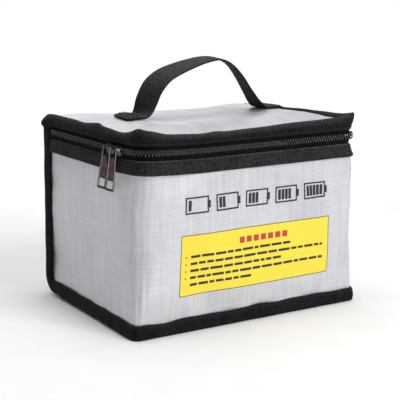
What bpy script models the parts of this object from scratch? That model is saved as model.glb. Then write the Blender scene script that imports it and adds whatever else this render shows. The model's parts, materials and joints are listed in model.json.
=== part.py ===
"""Soft zip-top storage bag for model aircraft battery packs, metres, +Z up.

The origin is on the floor under the middle of the bag. The front faces -Y and the zip's two
sliders are parked on the left side, which faces -X. Each wall is three layers: coated glass
cloth, foam padding and lining. One cloth wraps the left, front and right sides. A second one
runs up from the bottom to the back and over the lid, so the back top edge is the lid's hinge.
"""

import math

import bmesh
import bpy
from mathutils import Euler, Matrix, Vector

MM = 0.001

# Overall size of the closed bag, over the cloth
WIDTH = 215 * MM
DEPTH = 165 * MM
LID_TOP = 163 * MM             # upper face of the lid cloth, and the height of the hinge line

# Rounded edges of the box
FRONT_CORNER_FLOOR = 6 * MM    # plan radius of the two front corners at the floor
FRONT_CORNER_MOUTH = 14 * MM   # the same corners at the mouth
BACK_ROUND = 15 * MM           # radius of the bend from the bottom to the back
CORNER_STEPS = 5

# Wall layers, from outside to inside, with a small gap between them
GAP = 0.3 * MM
CLOTH = 0.6 * MM
PADDING = 3.0 * MM
LINING = 0.5 * MM
PADDING_INSET = CLOTH + GAP
LINING_INSET = PADDING_INSET + PADDING + GAP
WALL = LINING_INSET + LINING

# Bindings and bands
BINDING_WIDTH = 10.5 * MM
BINDING_THICKNESS = 2.0 * MM
BINDING_TOP = 160 * MM         # upper ends of the two upright bindings at the back
BAND_LOW, BAND_HIGH = 130.4 * MM, 142 * MM
BAND_THICKNESS = 1.5 * MM
PADDING_TOP = 141 * MM
RIM_LOW, RIM_HIGH = 154 * MM, 166 * MM

# Zip, measured from the wall's outer plane
ZIP_HEIGHT = 148.5 * MM        # middle of the zip chain
COIL_SPLIT = 0.5 * MM          # half the space between the two coils, where the slider's neck runs
COIL_HEIGHT = 2.3 * MM
COIL_THICKNESS = 1.6 * MM
TAPE = 0.5 * MM
CLOTH_TOP = 134 * MM           # top edge of the wrap cloth, under the band
ZIP_BACK = DEPTH / 2 - 11 * MM  # the coils end where the upright bindings start

# Zip sliders and pullers
SLIDER_LENGTH = 11 * MM
REAR_SLIDER_Y = -39 * MM
FRONT_SLIDER_Y = -51 * MM
BLADE = 1.0 * MM
BLADE_HALF_HEIGHT = 4.1 * MM
BAIL_REACH = 7.5 * MM          # swing axis of a puller, outward from the wall plane
BAIL_RISE = 2.0 * MM           # and above the middle of the zip
BAIL_BAR = 0.7 * MM
PULLER_TURN = math.radians(24)  # a hanging puller stands at an angle to the wall, so its eye goes round the bail
PULLER_TILT = math.radians(3)   # its lower end stands out from the wall
REAR_LEAN, FRONT_LEAN = math.radians(7), math.radians(5)  # and leans towards the back
PULLER_WIDTH = 8.0 * MM
PULLER_THICKNESS = 1.0 * MM
PULLER_DROP = 34.5 * MM          # from the swing axis to the lower end
PULLER_RAIL = 1.2 * MM
EYE_DROP = 7.5 * MM
WINDOW_TOP, WINDOW_LOW = 23.5 * MM, 31.8 * MM

# Handle
HANDLE_X = 3 * MM              # the handle sits slightly right of the middle
HANDLE_HALF_SPAN = 60 * MM
HANDLE_RISE = 47 * MM          # top of the arch above its swing axis
WEBBING = 25 * MM
WEBBING_THICKNESS = 1.6 * MM
TAIL_LENGTH = 21 * MM
HANDLE_AXIS_Z = LID_TOP + 3.2 * MM
HANDLE_SWING = math.radians(60)
HANDLE_STEPS = 22


def clear_scene():
    for obj in list(bpy.data.objects):
        bpy.data.objects.remove(obj, do_unlink=True)


def material(name, colour, roughness, metallic=0.0):
    mat = bpy.data.materials.new(name)
    mat.use_nodes = True
    shader = mat.node_tree.nodes["Principled BSDF"]
    shader.inputs["Base Color"].default_value = (*colour, 1.0)
    shader.inputs["Roughness"].default_value = roughness
    shader.inputs["Metallic"].default_value = metallic
    return mat


def add_object(name, bm, mat, origin=(0, 0, 0)):
    """Puts a bmesh, given in world positions, into the scene with its origin at the given point."""
    bmesh.ops.recalc_face_normals(bm, faces=bm.faces)
    bmesh.ops.translate(bm, verts=bm.verts, vec=-Vector(origin))
    mesh = bpy.data.meshes.new(name)
    bm.to_mesh(mesh)
    bm.free()
    mesh.materials.append(mat)
    mesh.shade_smooth()
    mesh.set_sharp_from_angle(angle=math.radians(30))
    obj = bpy.data.objects.new(name, mesh)
    obj.location = origin
    bpy.context.scene.collection.objects.link(obj)
    return obj


def thick_sheet(name, outer, inner, mat, origin=(0, 0, 0)):
    """A closed sheet between two grids of points, each a list of rows of equal length."""
    bm = bmesh.new()
    faces = [[[bm.verts.new(p) for p in row] for row in grid] for grid in (outer, inner)]
    rows, columns = len(outer), len(outer[0])
    for grid in faces:
        for i in range(rows - 1):
            for j in range(columns - 1):
                bm.faces.new((grid[i][j], grid[i][j + 1], grid[i + 1][j + 1], grid[i + 1][j]))
    rim = [(0, j) for j in range(columns)] + [(i, columns - 1) for i in range(1, rows)]
    rim += [(rows - 1, j) for j in range(columns - 2, -1, -1)] + [(i, 0) for i in range(rows - 2, 0, -1)]
    front, back = faces
    for (i, j), (k, m) in zip(rim, rim[1:] + rim[:1]):
        bm.faces.new((front[i][j], front[k][m], back[k][m], back[i][j]))
    return add_object(name, bm, mat, origin)


def joined_boxes(name, boxes, mat, origin, stance=Matrix.Identity(3)):
    """One closed body from boxes that share faces, each box given as (low corner, high corner)."""
    cuts = [sorted({round(corner[axis], 7) for box in boxes for corner in box}) for axis in range(3)]

    def filled(cell):
        if any(n < 0 or n >= len(cuts[axis]) - 1 for axis, n in enumerate(cell)):
            return False
        middle = [(cuts[axis][n] + cuts[axis][n + 1]) / 2 for axis, n in enumerate(cell)]
        return any(all(low[a] < middle[a] < high[a] for a in range(3)) for low, high in boxes)

    bm = bmesh.new()
    corners = {}

    def corner(index):
        if index not in corners:
            corners[index] = bm.verts.new([cuts[axis][n] for axis, n in enumerate(index)])
        return corners[index]

    def add_side(cell, axis, high):
        u, v = (axis + 1) % 3, (axis + 2) % 3
        ring = []
        for du, dv in ((0, 0), (1, 0), (1, 1), (0, 1)):
            index = list(cell)
            index[axis] += high
            index[u] += du
            index[v] += dv
            ring.append(corner(tuple(index)))
        bm.faces.new(ring)

    sizes = [len(c) - 1 for c in cuts]
    for x in range(sizes[0]):
        for y in range(sizes[1]):
            for z in range(sizes[2]):
                if not filled((x, y, z)):
                    continue
                for axis in range(3):
                    for high in (0, 1):
                        beside = [x, y, z]
                        beside[axis] += 1 if high else -1
                        if not filled(tuple(beside)):
                            add_side((x, y, z), axis, high)
    bmesh.ops.rotate(bm, verts=bm.verts, matrix=stance)
    bmesh.ops.translate(bm, verts=bm.verts, vec=Vector(origin))
    return add_object(name, bm, mat, origin)


def quarter_turns(steps=CORNER_STEPS):
    return [math.radians(90) * i / steps for i in range(steps + 1)]


def front_corner_radius(z):
    share = min(1.0, max(0.0, z / BAND_LOW))
    return FRONT_CORNER_FLOOR + (FRONT_CORNER_MOUTH - FRONT_CORNER_FLOOR) * share


def u_path(inset, radius, y_back, z):
    """Points round the left side, the front and the right side, at one height."""
    half_x, half_y = WIDTH / 2 - inset, DEPTH / 2 - inset
    r = radius - inset
    left = [(-half_x, y_back, z)]
    for a in quarter_turns():
        left.append((-half_x + r - r * math.cos(a), -half_y + r - r * math.sin(a), z))
    right = [(-x, y, z) for x, y, z in reversed(left)]
    return left + right


def u_band(name, inset, thickness, low, high, y_back, mat):
    """An upright band of constant section round the left side, the front and the right side."""
    grids = []
    for depth in (inset, inset + thickness):
        grids.append([u_path(depth, FRONT_CORNER_MOUTH, y_back, z) for z in (low, high)])
    return thick_sheet(name, grids[0], grids[1], mat)


def wrap_layer(name, inset, thickness, top, mat):
    """One layer of the left, front and right sides, cut round at the two lower back corners."""
    bend = BACK_ROUND - inset
    rows = [(inset + bend - bend * math.cos(a), DEPTH / 2 - inset - bend + bend * math.sin(a))
            for a in quarter_turns()]
    rows.append((top, DEPTH / 2 - inset))
    grids = []
    for depth in (inset, inset + thickness):
        grids.append([u_path(depth, front_corner_radius(z), y_back, z) for z, y_back in rows])
    return thick_sheet(name, grids[0], grids[1], mat)


def rounded_front(half_width, y_front, radius):
    """(x, y) points along a front edge with a round corner at each end."""
    left = []
    for a in quarter_turns():
        left.append((-half_width + radius - radius * math.cos(a), y_front + radius - radius * math.sin(a)))
    return left + [(-x, y) for x, y in reversed(left)]


def back_bottom_layer(name, inset, thickness, side_inset, top, mat):
    """One layer of the back and the bottom, which fits between the wrap's side walls."""
    half_width = WIDTH / 2 - side_inset
    radius = front_corner_radius(0) - side_inset + 2 * MM
    front = rounded_front(half_width, -DEPTH / 2 + side_inset, radius)
    grids = []
    for depth in (inset, inset + thickness):
        bend, y_back = BACK_ROUND - depth, DEPTH / 2 - depth
        profile = [(y_back, top)]
        for a in quarter_turns():
            profile.append((y_back - bend + bend * math.cos(a), depth + bend - bend * math.sin(a)))
        rows = [[(x, y, z) for x, _ in front] for y, z in profile]
        rows.append([(x, y, depth) for x, y in front])
        grids.append(rows)
    return thick_sheet(name, grids[0], grids[1], mat)


def lid_layer(name, inset, thickness, side_inset, y_back, mat):
    """One flat layer of the lid with round front corners."""
    half_width = WIDTH / 2 - side_inset
    radius = FRONT_CORNER_MOUTH - side_inset
    front = rounded_front(half_width, -DEPTH / 2 + side_inset, radius)
    grids = []
    for depth in (inset, inset + thickness):
        z = LID_TOP - depth
        grids.append([[(x, y_back, z) for x, _ in front], [(x, y, z) for x, y in front]])
    return thick_sheet(name, grids[0], grids[1], mat)


def edge_binding(name, mat):
    """Tape over the back edges and the bottom edges of the three wrapped sides, as one length."""
    stations = [((-WIDTH / 2, DEPTH / 2, BINDING_TOP), (0, -1, 0), (-1, 0, 0))]
    for a in quarter_turns():
        edge = (-WIDTH / 2, DEPTH / 2 - BACK_ROUND * (1 - math.cos(a)), BACK_ROUND * (1 - math.sin(a)))
        stations.append((edge, (0, -math.cos(a), math.sin(a)), (-1, 0, 0)))
    r = FRONT_CORNER_FLOOR
    for a in quarter_turns():
        edge = (-WIDTH / 2 + r - r * math.cos(a), -DEPTH / 2 + r - r * math.sin(a), 0)
        stations.append((edge, (0, 0, 1), (-math.cos(a), -math.sin(a), 0)))
    mirror = Vector((-1, 1, 1))
    stations = [tuple(Vector(v) for v in station) for station in stations]
    stations += [tuple(v * mirror for v in station) for station in reversed(stations)]
    grids = []
    for out in (GAP + BINDING_THICKNESS, GAP):
        near = [edge + normal * out for edge, _, normal in stations]
        far = [edge + inward * BINDING_WIDTH + normal * out for edge, inward, normal in stations]
        grids.append([near, far])
    return thick_sheet(name, grids[0], grids[1], mat)


def slider_body(name, y, mat):
    """A zip slider: two blades joined by a neck between the coils, and a bail that holds the puller.

    Built with its outward direction along -X, about the middle of the zip chain in the wall plane.
    """
    half = SLIDER_LENGTH / 2
    tall = BLADE_HALF_HEIGHT
    outer_low = GAP + COIL_THICKNESS + GAP
    outer_high = outer_low + BLADE
    inner_high = TAPE + GAP
    neck = 0.2 * MM
    post = 1.0 * MM
    bar = BAIL_BAR / 2
    low, high = BAIL_RISE - 1.1 * MM, BAIL_RISE + bar

    def box(out_low, out_high, y_low, y_high, z_low, z_high):
        return (-out_high, y_low, z_low), (-out_low, y_high, z_high)

    boxes = [
        box(outer_low, outer_high, -half, half, -tall, tall),
        box(0.4 * MM, outer_low, -half, half, -tall, -tall + BLADE),
        box(-inner_high, outer_low, -half, half, -neck, neck),
        box(-inner_high - BLADE, -inner_high, -half, half, -tall, tall),
        box(outer_high, BAIL_REACH + bar, -half, -half + post, low, high),
        box(outer_high, BAIL_REACH + bar, half - post, half, low, high),
        box(BAIL_REACH - bar, BAIL_REACH + bar, -half + post, half - post, BAIL_RISE - bar, high),
    ]
    return joined_boxes(name, boxes, mat, (-WIDTH / 2, y, ZIP_HEIGHT))


def puller(name, slider, lean, mat):
    """A hanging puller: a flat frame with an eye over the bail and a window near its lower end."""
    half, thick = PULLER_WIDTH / 2, PULLER_THICKNESS / 2
    top = BAIL_BAR / 2 + 0.45 * MM
    crown = 1.1 * MM

    def box(y_low, y_high, z_low, z_high):
        return (-thick, y_low, z_low), (thick, y_high, z_high)

    boxes = [
        box(-half, half, top, top + crown),
        box(-half, -half + PULLER_RAIL, -PULLER_DROP, top),
        box(half - PULLER_RAIL, half, -PULLER_DROP, top),
        box(-half + PULLER_RAIL, half - PULLER_RAIL, -WINDOW_TOP, -EYE_DROP),
        box(-half + PULLER_RAIL, half - PULLER_RAIL, -PULLER_DROP, -WINDOW_LOW),
    ]
    x, y, z = slider.location
    stance = Euler((lean, PULLER_TILT, 0)).to_matrix() @ Matrix.Rotation(PULLER_TURN, 3, "Z")
    obj = joined_boxes(name, boxes, mat, (x - BAIL_REACH, y, z + BAIL_RISE), stance)
    obj.location = (-BAIL_REACH, 0, BAIL_RISE)
    obj.parent = slider
    return obj


def handle_half_width(height):
    """Half the strap's width at a height over the swing axis, so that it clears the lid as it flops."""
    clear = 0.7 * MM
    room = (height * math.cos(HANDLE_SWING) + clear) / math.sin(HANDLE_SWING)
    return min(WEBBING / 2, room)


def handle_strap(name, mat):
    """The arched webbing of the carry handle, in the XZ plane, thinned to its legs at the anchors."""
    grids = []
    for side in (1, -1):
        left, right = [], []
        for i in range(HANDLE_STEPS + 1):
            a = math.radians(180) * i / HANDLE_STEPS - math.radians(90)
            x = HANDLE_HALF_SPAN * math.sin(a)
            z = HANDLE_RISE * max(0.0, math.cos(a)) ** 1.5
            slope_x = HANDLE_HALF_SPAN * math.cos(a)
            slope_z = -1.5 * HANDLE_RISE * math.sqrt(max(0.0, math.cos(a))) * math.sin(a)
            if i in (0, HANDLE_STEPS):
                slope_x, slope_z = 0.0, 1.0 if i == 0 else -1.0
            normal = Vector((-slope_z, 0, slope_x)).normalized() * (side * WEBBING_THICKNESS / 2)
            half = handle_half_width(z)
            centre = Vector((HANDLE_X + x, 0, HANDLE_AXIS_Z + z)) + normal
            left.append(centre + Vector((0, half, 0)))
            right.append(centre - Vector((0, half, 0)))
        grids.append([left, right])
    return thick_sheet(name, grids[0], grids[1], mat, (HANDLE_X, 0, HANDLE_AXIS_Z))


def handle_tail(name, side, mat):
    """A sewn-down end of the webbing, flat on the lid, pointing outwards."""
    low = LID_TOP + GAP
    x_inner = HANDLE_X + side * (HANDLE_HALF_SPAN - 2 * MM)
    x_outer = HANDLE_X + side * (HANDLE_HALF_SPAN + TAIL_LENGTH)
    grids = []
    for z in (low + WEBBING_THICKNESS, low):
        grids.append([[(x, y, z) for x in (x_inner, x_outer)] for y in (-WEBBING / 2, WEBBING / 2)])
    return thick_sheet(name, grids[0], grids[1], mat)


def build_body(cloth, foam, lining, grosgrain, tape, coil):
    wrap_layer("wrap_outer_cloth", 0, CLOTH, CLOTH_TOP, cloth)
    wrap_layer("wrap_padding", PADDING_INSET, PADDING, PADDING_TOP, foam)
    wrap_layer("wrap_lining", LINING_INSET, LINING, PADDING_TOP, lining)
    back_top = LID_TOP - CLOTH - GAP
    back_bottom_layer("back_bottom_outer_cloth", 0, CLOTH, PADDING_INSET, back_top, cloth)
    back_bottom_layer("back_bottom_padding", PADDING_INSET, PADDING, LINING_INSET, back_top - GAP, foam)
    back_bottom_layer("back_bottom_lining", LINING_INSET, LINING, WALL + GAP, back_top - GAP, lining)
    edge_binding("body_edge_binding", grosgrain)
    u_band("mouth_band", -GAP - BAND_THICKNESS, BAND_THICKNESS, BAND_LOW, BAND_HIGH, ZIP_BACK, grosgrain)
    inner_back = DEPTH / 2 - WALL - GAP
    u_band("mouth_inner_binding", WALL + GAP, 0.8 * MM, BAND_LOW, PADDING_TOP, inner_back, grosgrain)
    lower_top = ZIP_HEIGHT - COIL_SPLIT
    u_band("zip_tape_lower", 0, TAPE, CLOTH_TOP + GAP, lower_top, ZIP_BACK, tape)
    u_band("zip_coil_lower", -GAP - COIL_THICKNESS, COIL_THICKNESS, lower_top - COIL_HEIGHT, lower_top,
           ZIP_BACK, coil)


def build_lid(cloth, foam, lining, grosgrain, tape, coil):
    side = TAPE + GAP
    inner_back = DEPTH / 2 - WALL - GAP
    lid_layer("lid_outer_cloth", 0, CLOTH, side, DEPTH / 2, cloth)
    lid_layer("lid_padding", PADDING_INSET, PADDING, side, inner_back, foam)
    lid_layer("lid_lining", LINING_INSET, LINING, side, inner_back, lining)
    u_band("lid_edge_binding", -GAP - BINDING_THICKNESS, BINDING_THICKNESS, RIM_LOW, RIM_HIGH, ZIP_BACK,
           grosgrain)
    upper_low = ZIP_HEIGHT + COIL_SPLIT
    u_band("zip_tape_upper", 0, TAPE, upper_low, LID_TOP, ZIP_BACK, tape)
    u_band("zip_coil_upper", -GAP - COIL_THICKNESS, COIL_THICKNESS, upper_low, upper_low + COIL_HEIGHT,
           ZIP_BACK, coil)


def build_handle(webbing):
    handle_tail("handle_tail_left", -1, webbing)
    handle_tail("handle_tail_right", 1, webbing)
    handle_strap("handle_strap", webbing)


def build_sliders(metal):
    for place, y, lean in (("rear", REAR_SLIDER_Y, REAR_LEAN), ("front", FRONT_SLIDER_Y, FRONT_LEAN)):
        slider = slider_body(f"{place}_slider_body", y, metal)
        puller(f"{place}_puller", slider, lean, metal)


def main():
    clear_scene()
    cloth = material("silver_coated_cloth", (0.68, 0.69, 0.72), 0.45, 0.3)
    foam = material("white_foam", (0.85, 0.85, 0.85), 0.9)
    lining = material("silver_lining", (0.55, 0.56, 0.58), 0.5, 0.3)
    grosgrain = material("black_grosgrain", (0.012, 0.012, 0.013), 0.8)
    tape = material("black_zip_tape", (0.010, 0.010, 0.010), 0.85)
    coil = material("black_nylon_coil", (0.02, 0.02, 0.021), 0.4)
    webbing = material("black_webbing", (0.014, 0.013, 0.015), 0.75)
    metal = material("gunmetal_plate", (0.22, 0.20, 0.20), 0.3, 1.0)
    build_body(cloth, foam, lining, grosgrain, tape, coil)
    build_lid(cloth, foam, lining, grosgrain, tape, coil)
    build_handle(webbing)
    build_sliders(metal)


main()
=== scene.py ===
"""The looks of the soft storage bag: sewn cloth, bindings, zip, webbing and metal, built round the CAD frame.

Sizes are metres, in the frame's own axes: +Z up, the front faces -Y and the parked zip sliders face -X.
"""

import json
import math

import bmesh
import bpy
import numpy as np
from mathutils import Euler, Matrix, Vector


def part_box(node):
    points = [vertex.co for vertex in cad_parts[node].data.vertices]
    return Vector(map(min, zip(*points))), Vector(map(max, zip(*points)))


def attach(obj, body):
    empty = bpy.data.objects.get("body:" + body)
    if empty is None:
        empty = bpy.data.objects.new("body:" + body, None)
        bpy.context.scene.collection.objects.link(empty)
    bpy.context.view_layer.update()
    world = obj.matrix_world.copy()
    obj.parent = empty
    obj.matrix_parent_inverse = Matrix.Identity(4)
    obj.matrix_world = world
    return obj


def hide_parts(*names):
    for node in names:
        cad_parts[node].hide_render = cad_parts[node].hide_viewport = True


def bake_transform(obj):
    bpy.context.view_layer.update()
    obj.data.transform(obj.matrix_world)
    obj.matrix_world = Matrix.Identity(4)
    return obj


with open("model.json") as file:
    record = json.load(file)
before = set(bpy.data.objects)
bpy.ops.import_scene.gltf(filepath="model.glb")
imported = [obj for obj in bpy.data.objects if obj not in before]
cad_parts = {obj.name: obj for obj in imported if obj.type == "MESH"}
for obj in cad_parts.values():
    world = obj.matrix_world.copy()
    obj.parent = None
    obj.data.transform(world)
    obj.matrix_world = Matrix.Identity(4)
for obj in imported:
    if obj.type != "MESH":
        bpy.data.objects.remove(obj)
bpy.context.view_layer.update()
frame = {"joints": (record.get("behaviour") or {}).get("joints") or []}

MM = 0.001

# Places, from the CAD nodes
WRAP_LOW, WRAP_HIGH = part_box("wrap_outer_cloth")
BAND_LOW, BAND_HIGH = (corner.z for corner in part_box("mouth_band"))
RIM_LOW, RIM_HIGH = (corner.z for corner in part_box("lid_edge_binding"))
PADDING_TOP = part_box("wrap_padding")[1].z
CLOTH_TOP = WRAP_HIGH.z
HALF_X, FRONT_Y, BACK_Y = WRAP_HIGH.x, WRAP_LOW.y, WRAP_HIGH.y
LID_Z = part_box("lid_outer_cloth")[1].z
LID_SHEET_Z = LID_Z - 1.5 * MM
ZIP_Z = (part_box("zip_coil_lower")[1].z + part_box("zip_coil_upper")[0].z) / 2
ZIP_BACK_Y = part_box("zip_coil_lower")[1].y
BINDING_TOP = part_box("body_edge_binding")[1].z
WALL = HALF_X - (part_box("mouth_inner_binding")[1].x + 0.3 * MM)
HANDLE_LOW, HANDLE_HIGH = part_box("handle_strap")
HANDLE_X = (HANDLE_LOW.x + HANDLE_HIGH.x) / 2

# Shape of the box, the same as the CAD's
CORNER_FLOOR, CORNER_MOUTH = 4 * MM, 14 * MM
RIGHT_MOUTH = 9 * MM
FOOT_ROUND = 3.5 * MM
BACK_ROUND = 15 * MM
LID_BEND = 5 * MM
CLOTH, PADDING, LINING, GAP = 0.6 * MM, 3.0 * MM, 0.5 * MM, 0.3 * MM
BINDING_WIDTH = 12.0 * MM
RAW_EDGE = 0.9 * MM
WEBBING_HALF = 12.5 * MM
TAIL_REACH = 70 * MM

# Yellow panel and row of symbols on the front, from its middle and the floor
PANEL_X = (-70.5 * MM, 79 * MM)
PANEL_Z = (30.3 * MM, 80.4 * MM)
SYMBOLS_Z = (97.5 * MM, 111.5 * MM)


# ---------------------------------------------------------------- small numeric helpers

def smooth(low, high, value):
    t = np.clip((value - low) / (high - low), 0.0, 1.0)
    return t * t * (3 - 2 * t)


def near(value, centre, width):
    """A soft bump that is 1 at centre."""
    return np.exp(-((value - centre) / width) ** 2)


def field(points, wavelength, seed, waves=9):
    """A smooth random field over points, about -1 to 1, the same on every run."""
    rng = np.random.default_rng(seed)
    directions = rng.normal(size=(waves, 3))
    directions /= np.linalg.norm(directions, axis=1)[:, None]
    numbers = 2 * math.pi / wavelength * rng.uniform(0.65, 1.35, waves)
    phases = rng.uniform(0, 2 * math.pi, waves)
    total = np.sin(points @ (directions * numbers[:, None]).T + phases).sum(axis=-1)
    return total / math.sqrt(waves)


def unit(vectors):
    return vectors / np.maximum(np.linalg.norm(vectors, axis=-1, keepdims=True), 1e-12)


def grid_normals(grid):
    """Unit normals of a grid of points, on the side that d/dcolumn x d/drow points to."""
    along = np.gradient(grid, axis=1)
    across = np.gradient(grid, axis=0)
    return unit(np.cross(along, across))


def spline(points, count):
    """A Catmull-Rom curve through the points, evenly spaced along its length."""
    p = np.array(points, float)
    p = np.vstack([2 * p[0] - p[1], p, 2 * p[-1] - p[-2]])
    fine = []
    for i in range(1, len(p) - 2):
        t = np.linspace(0, 1, 24, endpoint=False)[:, None]
        a, b, c, d = p[i - 1:i + 3]
        fine.append(0.5 * (2 * b + (c - a) * t + (2 * a - 5 * b + 4 * c - d) * t ** 2
                           + (3 * b - 3 * c + d - a) * t ** 3))
    fine.append(p[-2][None])
    return resample(np.vstack(fine), count)


def arc_lengths(points):
    steps = np.linalg.norm(np.diff(points, axis=0), axis=1)
    return np.concatenate([[0], np.cumsum(steps)])


def along_path(path, values, distance):
    """The values of a path's points, read at distances along it."""
    lengths = arc_lengths(path)
    return np.stack([np.interp(distance, lengths, values[:, k]) for k in range(values.shape[1])], axis=1)


def resample(points, count):
    return along_path(points, points, np.linspace(0, arc_lengths(points)[-1], count))


# ---------------------------------------------------------------- how the soft bag has settled

# Height of the lid's rim round the mouth. It stands up in points at the front corners and sinks between them.
# Distance goes from the front left corner: minus towards the back, plus along the front and the right side.
RIM_LINE = spline([
    (-164, 160.6), (-161, 162.4), (-155, 163.6), (-146, 164.1), (-128, 164.0), (-108, 164.1), (-94, 163.5),
    (-81, 164.7), (-68, 166.1), (-60, 164.5), (-47, 163.9), (-37, 163.2), (-26, 163.7), (-16, 165.8),
    (-8, 168.5), (-2, 168.3), (4, 167.2), (9, 166.9), (15, 165.6), (22, 164.1), (33, 163.2), (44, 162.3),
    (54, 161.8), (61, 162.1), (69, 162.9), (79, 162.2), (95, 162.7), (120, 163.3), (138, 164.2), (160, 164.7),
    (180, 165.2), (196, 166.0), (206, 167.6), (213, 168.6), (219, 168.2), (225, 167.0), (233, 165.9),
    (247, 165.0), (264, 164.5), (280, 164.0), (292, 163.4), (306, 162.8), (340, 160.8), (382, 159.4)
], 600) * MM


def settle(points):
    """Moves points of the ideal box to where the used, soft bag holds them, for every sewn piece."""
    p = np.array(points, float)
    x, y, z = p[..., 0].copy(), p[..., 1].copy(), p[..., 2].copy()
    left, right, front = x + HALF_X, x - HALF_X, y - FRONT_Y
    # the front left foot kicks out, and the left edge of the floor lifts off the table
    foot = near(left, 0, 75 * MM) * near(front, 0, 85 * MM) * (1 - smooth(0, 95 * MM, z))
    p[..., 0] -= 5.5 * MM * foot
    lift = near(left, 0, 30 * MM) * smooth(8 * MM, 45 * MM, front) * (1 - smooth(6 * MM, 60 * MM, z))
    p[..., 2] += 1.3 * MM * lift
    # the back left corner of the floor rides up
    heel = near(left, 0, 26 * MM) * near(y, BACK_Y, 34 * MM) * (1 - smooth(4 * MM, 34 * MM, z))
    p[..., 2] += 1.8 * MM * heel
    # the front right corner bulges below the mouth and is drawn in at the stiff zip
    heights = [0, 12, 24, 120, 131, 142, 145, 149, 152, 155, 161, 166, 170]
    reaches = [2.6, 2.6, 2.2, 2.3, 0.6, -2.2, -0.6, 0.5, -0.8, -2.6, -0.4, 2.2, 2.8]
    reach = np.interp(z, np.array(heights) * MM, np.array(reaches) * MM)
    p[..., 0] += reach * near(right, 0, 40 * MM) * near(front, 0, 60 * MM)
    # the rim
    edge = np.minimum(np.abs(left), np.minimum(np.abs(right), np.abs(front)))
    rim = smooth(RIM_LOW - 2 * MM, RIM_HIGH, z) * near(edge, 0, 11 * MM)
    around = left + np.where(x < 0, -1, 1) * front
    p[..., 2] += rim * (np.interp(around, RIM_LINE[:, 0], RIM_LINE[:, 1]) - RIM_HIGH)
    ears = near(around, -6 * MM, 12 * MM) + near(around, 213 * MM, 14 * MM)
    p[..., 1] -= rim * 0.6 * MM * ears
    # its left back end is a thick knob
    knob = near(left, 0, 12 * MM) * smooth(62 * MM, 79 * MM, y) * near(z, 156 * MM, 8 * MM)
    knob = knob * smooth(151.6 * MM, 154.2 * MM, z)
    p[..., 0] -= 2.5 * MM * knob
    p[..., 1] += 0.8 * MM * knob
    # the zip climbs a little at the front left corner
    climb = near(left, 0, 30 * MM) * near(front, 0, 26 * MM) * smooth(100 * MM, 135 * MM, z)
    p[..., 2] += 1.4 * MM * climb * (1 - rim)
    return p


# ---------------------------------------------------------------- meshes

def link_object(name, data):
    obj = bpy.data.objects.new(name, data)
    bpy.context.scene.collection.objects.link(obj)
    return obj


def plain_mesh(name, verts, faces):
    mesh = bpy.data.meshes.new(name)
    mesh.from_pydata([tuple(map(float, v)) for v in verts], [], [tuple(map(int, f)) for f in faces])
    return mesh


def add_mesh(name, verts, faces, material, uvs=None):
    """A mesh object. uvs holds one (u, v) per vertex, in metres of cloth."""
    mesh = plain_mesh(name, verts, faces)
    if uvs is not None:
        layer = mesh.uv_layers.new(name="cloth")
        loops = np.empty(len(mesh.loops), int)
        mesh.loops.foreach_get("vertex_index", loops)
        layer.data.foreach_set("uv", np.asarray(uvs, np.float32)[loops].ravel())
    mesh.materials.append(material)
    mesh.shade_smooth()
    mesh.set_sharp_from_angle(angle=math.radians(50))
    return link_object(name, mesh)


def dress(piece, material_slot, body, *nodes):
    """Gives a piece the body it rides on and hides the CAD nodes it takes the place of. material_slot is not
    used.

    A piece without a body is left as it is.
    """
    if nodes:
        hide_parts(*nodes)
    if body:
        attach(piece, body)


def grid_faces(rows, columns):
    """The point numbers of a grid, and its faces."""
    index = np.arange(rows * columns).reshape(rows, columns)
    corners = [index[:-1, :-1], index[:-1, 1:], index[1:, 1:], index[1:, :-1]]
    return index, np.stack(corners, axis=-1).reshape(-1, 4)


def shell_faces(rows, columns):
    """Faces of a closed shell: two grids of points and the rim between them."""
    index, front = grid_faces(rows, columns)
    shift = rows * columns
    rim = np.concatenate([index[0, :], index[1:, -1], index[-1, -2::-1], index[-2:0:-1, 0]])
    after = np.roll(rim, -1)
    side = np.stack([rim, rim + shift, after + shift, after], axis=-1)
    return np.vstack([front, front[:, ::-1] + shift, side])


def ring_faces(count, sides, flipped=False):
    """Faces of a closed body made of a row of equal rings of points, with its two end caps."""
    index = np.arange(count * sides).reshape(count, sides)
    after = np.roll(index, -1, axis=1)
    corners, caps = [index[:-1], index[1:], after[1:], after[:-1]], [index[0], index[-1][::-1]]
    if flipped:
        corners, caps = corners[:1] + corners[:0:-1], [cap[::-1] for cap in caps]
    return [tuple(face) for face in [*np.stack(corners, axis=-1).reshape(-1, 4), *caps]]


def shell_mesh(name, outer, inner, uv, material):
    """A closed thin shell between two grids of points."""
    verts = np.vstack([outer.reshape(-1, 3), inner.reshape(-1, 3)])
    return add_mesh(name, verts, shell_faces(*outer.shape[:2]), material, np.vstack([uv.reshape(-1, 2)] * 2))


def sweep_mesh(name, rings, lengths, widths, material):
    """A closed body from a row of equal rings of points, with capped ends.

    lengths gives u for each ring and widths gives v for each point of a ring.
    """
    count, sides = rings.shape[:2]
    uvs = np.stack([np.repeat(lengths, sides), np.tile(widths, count)], axis=1)
    return make_outward(add_mesh(name, rings.reshape(-1, 3), ring_faces(count, sides), material, uvs))


def make_outward(obj):
    bm = bmesh.new()
    bm.from_mesh(obj.data)
    bmesh.ops.recalc_face_normals(bm, faces=bm.faces)
    bm.to_mesh(obj.data)
    bm.free()
    return obj


def ring_lengths(profile):
    closed = np.vstack([profile, profile[:1]])
    return arc_lengths(closed)[:-1]


def merge(name, parts, material):
    """One object from several (verts, faces) or (verts, faces, uvs) parts that stay separate solids."""
    verts, faces, uvs = [], [], []
    for part_verts, part_faces, *part_uvs in parts:
        faces += [tuple(i + len(verts) for i in face) for face in part_faces]
        verts += list(part_verts)
        for values in part_uvs:
            uvs += values
    return add_mesh(name, verts, faces, material, uvs or None)


# ---------------------------------------------------------------- cloth simulation

SLACK = 0.003
BILLOW = 1.2 * MM
SIMULATED_FRAMES = 20


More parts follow.
